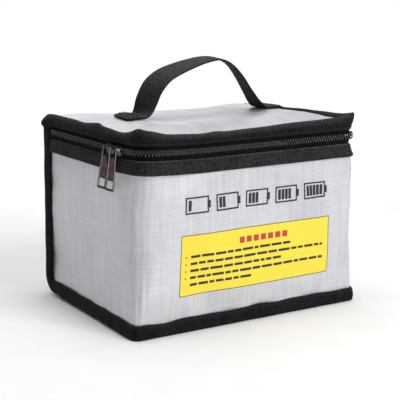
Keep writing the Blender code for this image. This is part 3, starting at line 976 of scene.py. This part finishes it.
def band_path(y_back=ZIP_BACK_Y, step=TAPE_STEP):
    """(x, y) points and outward normals round the three sides at the mouth."""
    flat = outline((round_corner(CORNER_MOUTH), round_corner(RIGHT_MOUTH)), y_back)
    flat = resample(flat, int(arc_lengths(flat)[-1] / step))
    along = unit(np.gradient(flat, axis=0))
    normals = np.column_stack([along[:, 1], -along[:, 0]])
    if normals[0, 0] > 0:
        normals = -normals
    return flat, normals


def upright_band(name, profile, material, y_back=ZIP_BACK_Y, waver=0.0, seed=50, step=TAPE_STEP):
    """A band round the three sides from a closed (outward, height) section."""
    flat, normals = band_path(y_back, step)
    base = np.column_stack([flat, np.full(len(flat), ZIP_Z)])
    shift = waver * field(base, 30 * MM, seed)
    rings = []
    for point, normal, extra in zip(flat, normals, shift):
        rings.append([(*(point + normal * (out + extra)), z + 0.6 * extra) for out, z in profile])
    return sweep_mesh(name, settle(rings), arc_lengths(flat), ring_lengths(np.array(profile)), material)


def band_seam(out, height, step=1.0 * MM):
    """Points along a band, with their outward normals."""
    flat, normals = band_path(step=step)
    points = np.column_stack([flat + normals * out, np.full(len(flat), height)])
    return settle(points), np.column_stack([normals, np.zeros(len(flat))])


def build_mouth_band():
    low, high = BAND_LOW, BAND_HIGH
    profile = [(0.4, low + 0.5 * MM), (1.2, low - 0.1 * MM), (2.2, low), (2.75, low + 0.6 * MM),
               (2.6, low + 2.2 * MM), (2.15, low + 5.5 * MM), (1.75, low + 8.5 * MM), (1.45, high - 1.2 * MM),
               (1.1, high - 0.2 * MM), (0.65, high), (0.35, high - 0.6 * MM), (0.35, low + 6 * MM)]
    profile = [(out * MM, z) for out, z in profile]
    piece = upright_band("mouth_band_tape", profile, BAND_TAPE, waver=0.25 * MM, seed=51)
    dress(piece, "black_grosgrain", "bag_body", "mouth_band")


def build_inner_binding():
    """Tape folded over the raw top edge of the padding and the lining, round the inside of the mouth."""
    top = PADDING_TOP
    inner = -WALL - GAP
    profile = [(inner, BAND_LOW), (inner, top), (inner + 0.9 * MM, top + 0.6 * MM),
               (-1.6 * MM, top + 0.6 * MM), (-0.8 * MM, top), (-0.8 * MM, top + 0.7 * MM),
               (-1.6 * MM, top + 1.3 * MM), (inner + 0.6 * MM, top + 1.3 * MM),
               (inner - 0.7 * MM, top + 0.4 * MM), (inner - 0.7 * MM, BAND_LOW)]
    piece = upright_band("mouth_inner_binding_tape", profile, GROSGRAIN, y_back=BACK_Y - 6 * MM, seed=52)
    dress(piece, "black_grosgrain", "bag_body", "mouth_inner_binding")


def build_zip_tapes():
    for name, node, body, low, high in (
            ("zip_tape_below", "zip_tape_lower", "bag_body", CLOTH_TOP + 4 * MM, ZIP_Z - 1.4 * MM),
            ("zip_tape_above", "zip_tape_upper", "lid", ZIP_Z + 1.4 * MM, RIM_LOW + 6 * MM)):
        rows = np.linspace(low, high, 7)
        hollow = [-0.35 * MM * math.sin(math.pi * i / 6) for i in range(7)]
        profile = [(h + 0.25 * MM, z) for h, z in zip(hollow, rows)]
        profile += [(h - 0.25 * MM, z) for h, z in reversed(list(zip(hollow, rows)))]
        piece = upright_band(name, profile, ZIP_TAPE, seed=53)
        dress(piece, "black_zip_tape", body, node)


def build_rim():
    """The lid's binding: a folded tape that stands up round three sides, with the lid sewn into it."""
    low, high = RIM_LOW, RIM_HIGH
    profile = [(0.55, low), (1.4, low - 0.2 * MM), (2.0, low + 0.5 * MM), (2.3, low + 2.0 * MM),
               (2.65, low + 4.3 * MM), (2.8, low + 6.2 * MM), (2.5, high - 3.6 * MM), (1.85, high - 1.7 * MM),
               (0.95, high - 0.5 * MM), (-0.1, high), (-1.0, high - 0.5 * MM), (-1.5, high - 1.7 * MM),
               (-1.75, high - 3.4 * MM), (-1.75, low + 5.4 * MM), (-1.2, low + 4.6 * MM),
               (0.1, low + 4.4 * MM)]
    profile = [(out * MM, z) for out, z in profile]
    piece = upright_band("lid_rim_binding", profile, RIM_TAPE, BACK_Y - 1.5 * MM, 0.35 * MM, 54, 2.2 * MM)
    dress(piece, "black_grosgrain", None, "lid_edge_binding")
    bend_at_hinge(piece)


# ---------------------------------------------------------------- zip teeth

TUBE_SIDES = 5


def tube(points, radius):
    """(verts, faces) of a round thread along an open curve, with flat ends."""
    along = unit(np.gradient(points, axis=0))
    reference = np.where(np.abs(along[:, 2:3]) > 0.9, [[1.0, 0, 0]], [[0, 0, 1.0]])
    a = unit(np.cross(along, reference))
    b = np.cross(along, a)
    angles = np.linspace(0, 2 * math.pi, TUBE_SIDES, endpoint=False)
    rings = points[:, None] + radius * (np.cos(angles)[None, :, None] * a[:, None]
                                        + np.sin(angles)[None, :, None] * b[:, None])
    return rings.reshape(-1, 3), ring_faces(len(points), TUBE_SIDES, flipped=True)


def build_coils():
    """Each half of the zip is one nylon thread wound into flat loops, which pass into the other half's."""
    pitch, per_turn = 2.55 * MM, 16
    path, normals = band_seam(0.0, ZIP_Z, 0.6 * MM)
    turns = np.arange(int((arc_lengths(path)[-1] / pitch - 1) * per_turn)) / per_turn
    # a loop advances little on its outward half, so its outward strand stands nearly upright
    share = turns % 1
    advance = np.where(share < 0.5, 1.56 * share, 0.78 + 0.44 * (share - 0.5))
    angle = share * 2 * math.pi
    flat_cos = np.sign(np.cos(angle)) * np.abs(np.cos(angle)) ** 0.7
    outward = (1 - np.sin(angle)) / 2
    for name, node, body, side, shift in (("zip_coil_below", "zip_coil_lower", "bag_body", -1, 0.0),
                                          ("zip_coil_above", "zip_coil_upper", "lid", 1, 0.5)):
        distance = (np.floor(turns) + advance + shift) * pitch
        centre, normal = along_path(path, path, distance), along_path(path, normals, distance)
        tangent = unit(np.gradient(centre, axis=0))
        points = centre + normal * (0.80 * MM - 1.0 * MM * np.sin(angle))[:, None]
        points += tangent * (0.22 * MM * flat_cos)[:, None]
        points[:, 2] += side * (1.18 * MM + 1.45 * MM * flat_cos)
        verts, faces = tube(points, 0.30 * MM)
        uv = np.repeat(np.column_stack([distance, outward]), TUBE_SIDES, axis=0)
        piece = add_mesh(name, verts, faces, COIL, uv)
        dress(piece, "black_nylon_coil", body, node)


# ---------------------------------------------------------------- carry handle

def handle_edges(moves):
    """The webbing's back and front edges: flat tail, bend, arch, bend, flat tail."""
    deck = LID_Z + 3.0 * MM
    lift = HANDLE_HIGH.z - 214 * MM
    back = [(-79, deck), (-70, deck), (-64.5, deck + 0.4 * MM), (-60, 168.8 * MM), (-56.7, 180.8 * MM),
            (-51.7, 191 * MM), (-43.8, 199 * MM), (-30.3, 205.6 * MM), (-6, 211.3 * MM), (13, 213.3 * MM),
            (28.3, 210.6 * MM), (38.2, 204.5 * MM), (46.7, 194 * MM), (54.8, 181.5 * MM), (62, 170.4 * MM),
            (67, deck + 0.6 * MM), (75, deck), (84, deck)]
    front = [(-79, deck), (-70, deck), (-62.5, deck + 0.3 * MM), (-55.7, 169.8 * MM), (-50, 178 * MM),
             (-45.2, 187.4 * MM), (-37.6, 195.8 * MM), (-26.6, 201.7 * MM), (-8, 208.4 * MM), (8, 212.0 * MM),
             (18.5, 211.5 * MM), (28, 206.4 * MM), (37.7, 197 * MM), (48.2, 183.5 * MM), (58.3, 172.4 * MM),
             (66, deck + 1.6 * MM), (75, deck + 0.6 * MM), (84, deck)]
    edges = []
    for points, y in ((back, WEBBING_HALF), (front, -WEBBING_HALF)):
        curve = spline([(x * MM, y, z + lift * (z > 170 * MM)) for x, z in points], 170)
        # each tail lies on the lid as it has settled
        on_lid = np.maximum(smooth(-56 * MM, -66 * MM, curve[:, 0]), smooth(60 * MM, 74 * MM, curve[:, 0]))
        lid = moves.lid_height(curve[:, 0], curve[:, 1]) + 1.75 * MM
        lying = curve[:, 2] * (1 - on_lid) + np.maximum(lid, deck - 1 * MM) * on_lid
        curve[:, 2] = np.where(on_lid > 0, lying, curve[:, 2])
        edges.append(curve)
    return edges


def build_handle(moves):
    back, front = handle_edges(moves)
    across = unit(back - front)
    middle = (back + front) / 2
    along = unit(np.gradient(middle, axis=0))
    up = unit(np.cross(along, across))
    if up[75][2] < 0:
        up = -up
    # the ends are turned under, so they are twice as thick
    folded = np.maximum(smooth(-60 * MM, -64 * MM, middle[:, 0]), smooth(67 * MM, 71 * MM, middle[:, 0]))
    ends = np.minimum(arc_lengths(middle), arc_lengths(middle)[-1] - arc_lengths(middle))
    half, rings = 12.4 * MM, []
    section = [(t, 0.5 * (1 - 0.35 * abs(t) ** 6)) for t in np.linspace(-1, 1, 11)]
    section += [(t, -b) for t, b in reversed(section)]
    section = np.array(section)
    fuzz = field(middle, 9 * MM, 61)
    for centre, side, normal, double, end, stray in zip(middle, across, up, folded, ends, fuzz):
        thick = (1.7 + 1.2 * double) * MM * (0.55 + 0.45 * float(smooth(0, 1.6 * MM, end)))
        wide = half * (1 + 0.012 * stray) - 1.2 * MM * (1 - float(smooth(0, 2.5 * MM, end)))
        rings.append([centre + side * (a * wide) + normal * (b * thick) for a, b in section])
    lengths = arc_lengths(middle)
    flat_section = section * [half, 1.7 * MM]
    piece = sweep_mesh("handle_webbing", np.array(rings), lengths, ring_lengths(flat_section), WEBBING)
    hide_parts("handle_strap", "handle_tail_left", "handle_tail_right")
    start, end = (HANDLE_X, 0, LID_Z + 4.2 * MM), (HANDLE_X, 0, LID_Z + 24 * MM)
    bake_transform(piece)


# ---------------------------------------------------------------- stitches

def stitch_row(points, normals, length=2.5 * MM, pitch=3.2 * MM, radius=0.24 * MM, lift=0.05 * MM):
    """(verts, faces) for each stitch of a seam along points."""
    parts = []
    arch = np.array([-0.5, 0.35, 0.6, 0.6, 0.35, -0.5]) * radius + lift
    for start in np.arange(0.8 * MM, arc_lengths(points)[-1] - length, pitch):
        at = np.linspace(start, start + length, len(arch))
        out = unit(along_path(points, normals, at))
        parts.append(tube(along_path(points, points, at) + out * arch[:, None], radius))
    return parts


def build_stitches(binding_seam, moves):
    body = stitch_row(*binding_seam)
    for out, height in ((2.75 * MM, BAND_LOW + 1.9 * MM), (1.6 * MM, BAND_HIGH - 1.9 * MM)):
        body += stitch_row(*band_seam(out, height))
    piece = merge("body_stitching", body, THREAD)
    dress(piece, "black_grosgrain", "bag_body")
    lid = stitch_row(*band_seam(2.55 * MM, RIM_LOW + 1.8 * MM))
    piece = merge("lid_stitching", lid, THREAD)
    dress(piece, "black_grosgrain", "lid")
    build_tail_stitches(moves)


def build_tail_stitches(moves):
    """A sewn box with a cross in it on each end of the webbing."""
    parts = []
    for side, outer, inner in ((-1, 76.5 * MM, 67 * MM), (1, 82 * MM, 75 * MM)):
        x0, x1, y0, y1 = side * outer, side * inner, -10.2 * MM, 10.2 * MM
        runs = [((x0, y0), (x1, y0)), ((x1, y0), (x1, y1)), ((x1, y1), (x0, y1)), ((x0, y1), (x0, y0)),
                ((x0, y0), (x1, y1)), ((x0, y1), (x1, y0))]
        for start, end in runs:
            points = resample(np.array([(*start, 0.0), (*end, 0.0)]), 12)
            points[:, 2] = moves.lid_height(points[:, 0], points[:, 1]) + 3.25 * MM
            normals = np.tile([0.0, 0.0, 1.0], (12, 1))
            parts += stitch_row(points, normals, 2.0 * MM, 2.6 * MM)
    piece = merge("handle_stitching", parts, THREAD)
    dress(piece, "black_webbing", "lid")


# ---------------------------------------------------------------- print on the front

class FrontPrint:
    """Lays thin patches of ink on the front cloth, by distance along the cloth and height."""

    def __init__(self, surface, uv):
        self.surface, self.uv = surface, uv
        self.normals = grid_normals(surface)
        if self.normals[20, surface.shape[1] // 2][1] > 0:
            self.normals = -self.normals
        self.heights = uv[:, 0, 1]

    def at(self, u, v, lift):
        row = np.interp(v, self.heights, np.arange(len(self.heights)))
        i = int(min(row, len(self.heights) - 2))
        point, normal = 0.0, 0.0
        for line, share in ((i, 1 - row + i), (i + 1, row - i)):
            columns = self.uv[line, :, 0]
            j = int(np.searchsorted(columns, u)) - 1
            b = (u - columns[j]) / (columns[j + 1] - columns[j])
            point = point + share * ((1 - b) * self.surface[line, j] + b * self.surface[line, j + 1])
            normal = normal + share * ((1 - b) * self.normals[line, j] + b * self.normals[line, j + 1])
        return point + unit(normal) * lift

    def patch(self, u0, u1, v0, v1, lift, thickness=0.05 * MM):
        """(verts, faces, uvs) of one closed rectangular patch of ink."""
        columns = max(2, int((u1 - u0) / (3 * MM)) + 2)
        rows = max(2, int((v1 - v0) / (3 * MM)) + 2)
        us, vs = np.linspace(u0, u1, columns), np.linspace(v0, v1, rows)
        places = [(u, v) for v in vs for u in us]
        verts = [self.at(u, v, level) for level in (lift, lift - thickness) for u, v in places]
        return verts, shell_faces(rows, columns), places * 2

    def piece(self, name, rectangles, lift, material):
        parts = [self.patch(*rectangle, lift) for rectangle in rectangles]
        dress(make_outward(merge(name, parts, material)), "silver_cloth", "bag_body")


def frame_rectangles(u0, u1, v0, v1, line):
    return [(u0, u1, v0, v0 + line), (u0, u1, v1 - line, v1),
            (u0, u0 + line, v0 + line, v1 - line), (u1 - line, u1, v0 + line, v1 - line)]


def battery_symbols():
    """A row of five plain battery outlines, with one to five bars of charge."""
    rectangles = []
    u_low, u_high = PANEL_X
    v0, v1 = SYMBOLS_Z
    pitch = (u_high - u_low) / 5
    width, line = 22.5 * MM, 1.3 * MM
    for number in range(5):
        u0 = u_low + number * pitch + (pitch - width) / 2 - 1 * MM
        u1 = u0 + width
        rectangles += frame_rectangles(u0, u1, v0, v1, line)
        nub = 0.28 * (v1 - v0)
        rectangles.append((u1, u1 + 1.9 * MM, v0 + nub, v1 - nub))
        inner_low, inner_high = u0 + line + 1.2 * MM, u1 - line - 1.2 * MM
        cell = (inner_high - inner_low) / 5
        for left in inner_low + np.arange(number + 1) * cell:
            rectangles.append((left + 0.35 * MM, left + cell - 0.35 * MM,
                               v0 + line + 1.3 * MM, v1 - line - 1.3 * MM))
    return rectangles


def notice_lines():
    """Plain bars in place of lines of print: four marked rows and a short one, each broken into pieces."""
    rng = np.random.default_rng(7)
    u0, v1 = PANEL_X[0], PANEL_Z[1]
    rows, bullets = [], []
    for number, length in enumerate((101.5, 133.5, 90, 134, 59)):
        v = v1 - (19.2 + 5.75 * number) * MM
        if number < 4:
            bullets.append((u0 + 4.4 * MM, u0 + 5.8 * MM, v + 0.2 * MM, v + 1.6 * MM))
        at, end = u0 + 9.6 * MM, u0 + (9.6 + length) * MM
        while at < end - 2 * MM:
            dash = rng.uniform(4, 12) * MM
            rows.append((at, min(at + dash, end), v, v + 2.1 * MM))
            at += dash + 1.5 * MM
    return rows, bullets


def heading_blocks():
    """A row of plain blocks in place of a heading."""
    v1, middle = PANEL_Z[1], PANEL_X[0] + 0.543 * (PANEL_X[1] - PANEL_X[0])
    return [(middle + (7.4 * n - 2.6) * MM, middle + (7.4 * n + 2.6) * MM, v1 - 12.6 * MM, v1 - 7.4 * MM)
            for n in range(-3, 4)]


def build_print(surface, uv):
    ink = FrontPrint(surface, uv)
    u0, u1 = PANEL_X
    v0, v1 = PANEL_Z
    line = 0.55 * MM
    ink.piece("panel_print", [(u0, u1, v0, v1)], 0.10 * MM, YELLOW)
    ink.piece("panel_border_print", frame_rectangles(u0, u1, v0, v1, line), 0.16 * MM, BROWN)
    rows, bullets = notice_lines()
    ink.piece("panel_heading_print", heading_blocks() + bullets, 0.16 * MM, RED_INK)
    ink.piece("panel_lines_print", rows, 0.16 * MM, BLACK_INK)
    ink.piece("battery_symbols_print", battery_symbols(), 0.12 * MM, BLACK_INK)


# ---------------------------------------------------------------- zip sliders and pullers

def bevelled(name, parts, material, width, segments=2):
    """An object from solid (verts, faces) parts with its edges rounded."""
    piece = make_outward(merge(name, parts, material))
    bevel = piece.modifiers.new("bevel", "BEVEL")
    bevel.width = width
    bevel.segments = segments
    bevel.limit_method = "ANGLE"
    bevel.angle_limit = math.radians(35)
    bevel.harden_normals = True
    return piece


def prism(outline_points, low, high):
    """(verts, faces) of a flat plate: a closed (y, z) outline extruded along x."""
    verts = [(x, y, z) for x in (low, high) for y, z in outline_points]
    n = len(outline_points)
    faces = [tuple(range(n)), tuple(range(2 * n - 1, n - 1, -1))]
    faces += [(i, i + n, (i + 1) % n + n, (i + 1) % n) for i in range(n)]
    return verts, faces


def placed(parts, offset):
    return [(np.asarray(verts, float) + offset, faces) for verts, faces in parts]


def mirrored(outline_points):
    return [(y, -z) for y, z in reversed(outline_points)]


def slider_parts():
    """A slider about the middle of the zip, outward along -X: shield-shaped blades, flanges and a neck."""
    wide, narrow, long = 4.1 * MM, 3.2 * MM, 5.5 * MM
    half = [(long, -narrow), (long - 1.2 * MM, -narrow - 0.5 * MM), (0.6 * MM, -wide + 0.3 * MM),
            (-long + 1.6 * MM, -wide), (-long, -wide + 1.3 * MM), (-long + 0.1 * MM, -1.0 * MM)]
    shield = half + [(-long + 1.4 * MM, 0.0)] + mirrored(half)
    outer = prism(shield, -3.25 * MM, -2.25 * MM)
    inner = prism(shield, 1.0 * MM, 1.8 * MM)
    flange = [(long - 1.0 * MM, -narrow - 0.3 * MM), (-long + 1.8 * MM, -wide),
              (-long + 1.8 * MM, -wide + 0.9 * MM), (long - 1.0 * MM, -narrow + 0.5 * MM)]
    neck = [(-long + 3.4 * MM, -0.3 * MM), (-long + 1.6 * MM, -0.3 * MM), (-long + 1.6 * MM, 0.3 * MM),
            (-long + 3.4 * MM, 0.3 * MM)]
    flanges = [prism(shape, -2.3 * MM, -0.5 * MM) for shape in (flange, mirrored(flange))]
    return [outer, inner, *flanges, prism(neck, -2.4 * MM, 1.0 * MM)]


def bail_part(rise):
    """The bail: a strip that bows out over the slider and widens into its two feet."""
    path = spline([(-2.7, -4.6), (-4.4, -4.9), (-6.4, -4.3), (-7.3, -2.4), (-7.5, 0),
                   (-7.3, 2.4), (-6.4, 4.3), (-4.4, 4.9), (-2.7, 4.6)], 30) * MM
    along = unit(np.gradient(path, axis=0))
    out = np.column_stack([along[:, 1], -along[:, 0]])
    if out[15][0] > 0:
        out = -out
    rings = []
    for (x, y), (nx, ny) in zip(path, out):
        foot = float(smooth(-6.8 * MM, -3.2 * MM, x))
        half, thick, middle = (0.75 + 0.9 * foot) * MM, 0.33 * MM, rise - 0.9 * MM * foot
        ring = [(-1, -0.6), (-0.7, -1), (0.7, -1), (1, -0.6), (1, 0.6), (0.7, 1), (-0.7, 1), (-1, 0.6)]
        rings.append([(x + nx * thick * b, y + ny * thick * b, middle + half * a) for a, b in ring])
    return np.reshape(rings, (-1, 3)), ring_faces(len(path), len(ring))


def puller_loop(half_low, half_high, low, high, inset):
    """Points of the puller's upright outline, (width, height), narrower at the top, with rounded ends."""
    points = []
    corners = ((1, low, half_low, 1.0 * MM, -math.pi / 2), (1, high, half_high, 2.4 * MM, 0.0),
               (-1, high, half_high, 2.4 * MM, math.pi / 2), (-1, low, half_low, 1.0 * MM, math.pi))
    for side, level, half, radius, start in corners:
        radius = max(radius - inset, 0.2 * MM)
        cx = side * (half - inset - radius)
        cz = level + (inset + radius) * (1 if level == low else -1)
        for a in np.linspace(start, start + math.pi / 2, 6):
            points.append((cx + radius * math.cos(a), cz + radius * math.sin(a)))
    return np.array(points)


def ring_tube(loop, radius_flat, radius_deep, sides=8):
    """(verts, faces) of a closed wire along a loop in the (y, z) plane, squarish in section."""
    ahead, behind = np.roll(loop, -1, axis=0), np.roll(loop, 1, axis=0)
    along = unit(ahead - behind)
    normal = np.column_stack([along[:, 1], -along[:, 0]])
    angles = np.linspace(0, 2 * math.pi, sides, endpoint=False) + math.pi / sides
    verts = []
    for (y, z), (ny, nz) in zip(loop, normal):
        for a in angles:
            c, s = math.cos(a), math.sin(a)
            c = math.copysign(abs(c) ** 0.7, c)
            s = math.copysign(abs(s) ** 0.7, s)
            verts.append((radius_deep * s, y + ny * radius_flat * c, z + nz * radius_flat * c))
    index = np.arange(len(verts)).reshape(-1, sides)
    ahead = np.roll(index, -1, axis=0)
    corners = [index, np.roll(index, -1, axis=1), np.roll(ahead, -1, axis=1), ahead]
    return verts, np.stack(corners, axis=-1).reshape(-1, 4)


def puller_parts(top, bottom, half_high):
    """A flat puller about its swing axis: raised rails with an eye and a window, and a recessed plate.

    Returns the rails' parts and the plate's.
    """
    half_low, rail = 4.4 * MM, 0.7 * MM
    rails = [ring_tube(puller_loop(half_low, half_high, bottom, top, rail), rail, 0.78 * MM)]

    def half_at(z):
        return half_high + (half_low - half_high) * (top - z) / (top - bottom)

    def bar(low, high, thick, reach=0.9):
        edge = [(-reach * half_at(low), low), (reach * half_at(low), low), (reach * half_at(high), high),
                (-reach * half_at(high), high)]
        return prism(edge, -thick / 2, thick / 2)

    rails.append(bar(-7.4 * MM, -6.4 * MM, 1.0 * MM))
    rails.append(bar(bottom + 8.6 * MM, bottom + 9.5 * MM, 1.0 * MM))
    rails.append(bar(bottom + 0.3 * MM, bottom + 1.9 * MM, 1.0 * MM, 0.8))
    plate = bar(bottom + 9.2 * MM, -6.8 * MM, 0.56 * MM)
    return rails, [plate]


def turned(parts, stance):
    return [(np.asarray(verts, float) @ np.array(stance).T, faces) for verts, faces in parts]


def build_sliders():
    joints = {joint["name"]: joint for joint in frame["joints"]}
    for place, lean in (("rear", math.radians(7)), ("front", math.radians(5))):
        slider_low, slider_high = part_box(f"{place}_slider_body")
        axis = np.array(joints[f"{place}_pull_swing"]["pos_m"])
        offset = np.array([-HALF_X, (slider_low.y + slider_high.y) / 2, ZIP_Z])
        parts = slider_parts()
        if place == "rear":
            parts = [(np.asarray(verts, float) * [1, -1, 1], faces) for verts, faces in parts]
        parts = placed(parts + [bail_part(axis[2] - ZIP_Z)], offset)
        body = bevelled(f"{place}_slider", parts, METAL, 0.22 * MM)
        dress(body, "gunmetal_plate", f"{place}_slider", f"{place}_slider_body")
        rails, plate = puller_parts(2.0 * MM, -34.6 * MM, 2.9 * MM if place == "rear" else 3.6 * MM)
        stance = Euler((lean, math.radians(3), 0)).to_matrix() @ Matrix.Rotation(math.radians(24), 3, "Z")
        frame_piece = bevelled(f"{place}_puller_frame", placed(turned(rails, stance), axis), RAIL, 0.12 * MM)
        plate_piece = bevelled(f"{place}_puller_plate", placed(turned(plate, stance), axis), PLATE, 0.1 * MM)
        dress(frame_piece, "gunmetal_plate", f"{place}_pull", f"{place}_puller")
        dress(plate_piece, "gunmetal_plate", f"{place}_pull")


# ---------------------------------------------------------------- studio

def build_studio():
    side, back, high, bend = 3.0, 2.2, 2.6, 0.9
    profile = [(-4.0, 0.0)] + [(back - bend + bend * math.sin(a), bend - bend * math.cos(a))
                               for a in np.linspace(0, math.pi / 2, 16)] + [(back, high)]
    verts = [(x, y, z) for y, z in profile for x in (-side, side)]
    faces = [(2 * i, 2 * i + 1, 2 * i + 3, 2 * i + 2) for i in range(len(profile) - 1)]
    mesh = plain_mesh("floor", verts, faces)
    mesh.shade_smooth()
    mesh.materials.append(studio_floor("floor_paint"))
    floor = link_object("floor", mesh)
    floor.location.z = -0.2 * MM
    world = bpy.data.worlds.new("studio")
    world.use_nodes = True
    tree = world.node_tree
    background = tree.nodes["Background"]
    background.inputs[0].default_value = (0.96, 0.98, 1.0, 1.0)
    # a soft grey room, darker on the left, that the camera sees as white
    direction = tree.nodes.new("ShaderNodeSeparateXYZ")
    tree.links.new(tree.nodes.new("ShaderNodeTexCoord").outputs["Generated"], direction.inputs[0])
    room = tree.nodes.new("ShaderNodeMapRange")
    seen = tree.nodes.new("ShaderNodeMapRange")
    for node, value in ((room, direction.outputs[0]),
                        (seen, tree.nodes.new("ShaderNodeLightPath").outputs["Is Camera Ray"])):
        tree.links.new(value, node.inputs[0])
    for socket, value in zip(list(room.inputs)[1:5], (-0.9, 0.5, 0.06, 0.52)):
        socket.default_value = value
    tree.links.new(room.outputs[0], seen.inputs[3])
    seen.inputs[4].default_value = 1.0
    tree.links.new(seen.outputs[0], background.inputs[1])
    bpy.context.scene.world = world
    add_light("key", (0.45, -1.7, 1.25), (0, 0, 0.08), 1.1, 27)
    add_light("top", (-0.1, 0.2, 1.6), (0, 0, 0.1), 1.2, 12)
    add_light("backdrop", (0.6, 1.3, 1.3), (0.95, 2.4, 0.0), 1.6, 14)


def add_light(name, place, aim, size, power):
    data = bpy.data.lights.new(name, "AREA")
    data.size = size
    data.energy = power
    light = link_object(name, data)
    light.location = place
    light.rotation_euler = (Vector(aim) - Vector(place)).to_track_quat("-Z", "Y").to_euler()


def set_tone():
    """Plain sRGB tones, so that black cloth is black and white is white."""
    view = bpy.context.scene.view_settings
    view.view_transform = "Standard"
    view.look = "None"


def build_camera():
    """The viewing angle: from the front left, a little above, through a long lens."""
    place = Vector((-0.573, -0.865, 0.301))
    yaw, pitch, roll = math.radians(33.6), math.radians(11.6), math.radians(0.48)
    forward = Vector((math.sin(yaw) * math.cos(pitch), math.cos(yaw) * math.cos(pitch), -math.sin(pitch)))
    right = Vector((math.cos(yaw), -math.sin(yaw), 0))
    up = right.cross(forward)
    side = right * math.cos(roll) + up * math.sin(roll)
    top = up * math.cos(roll) - right * math.sin(roll)
    camera_data = bpy.data.cameras.new("camera")
    camera_data.lens = 107.5
    camera_data.clip_start = 0.01
    camera = link_object("camera", camera_data)
    camera.matrix_world = Matrix.Translation(place) @ Matrix((side, top, -forward)).transposed().to_4x4()
    bpy.context.scene.camera = camera


def main():
    front_surface, front_uv = build_wrap()
    moves = build_long_cloth()
    build_long_inner(moves)
    seam = build_edge_binding()
    build_mouth_band()
    build_inner_binding()
    build_zip_tapes()
    build_rim()
    build_coils()
    build_handle(moves)
    build_stitches(seam, moves)
    build_print(front_surface, front_uv)
    build_sliders()
    build_studio()
    set_tone()
    build_camera()


main()
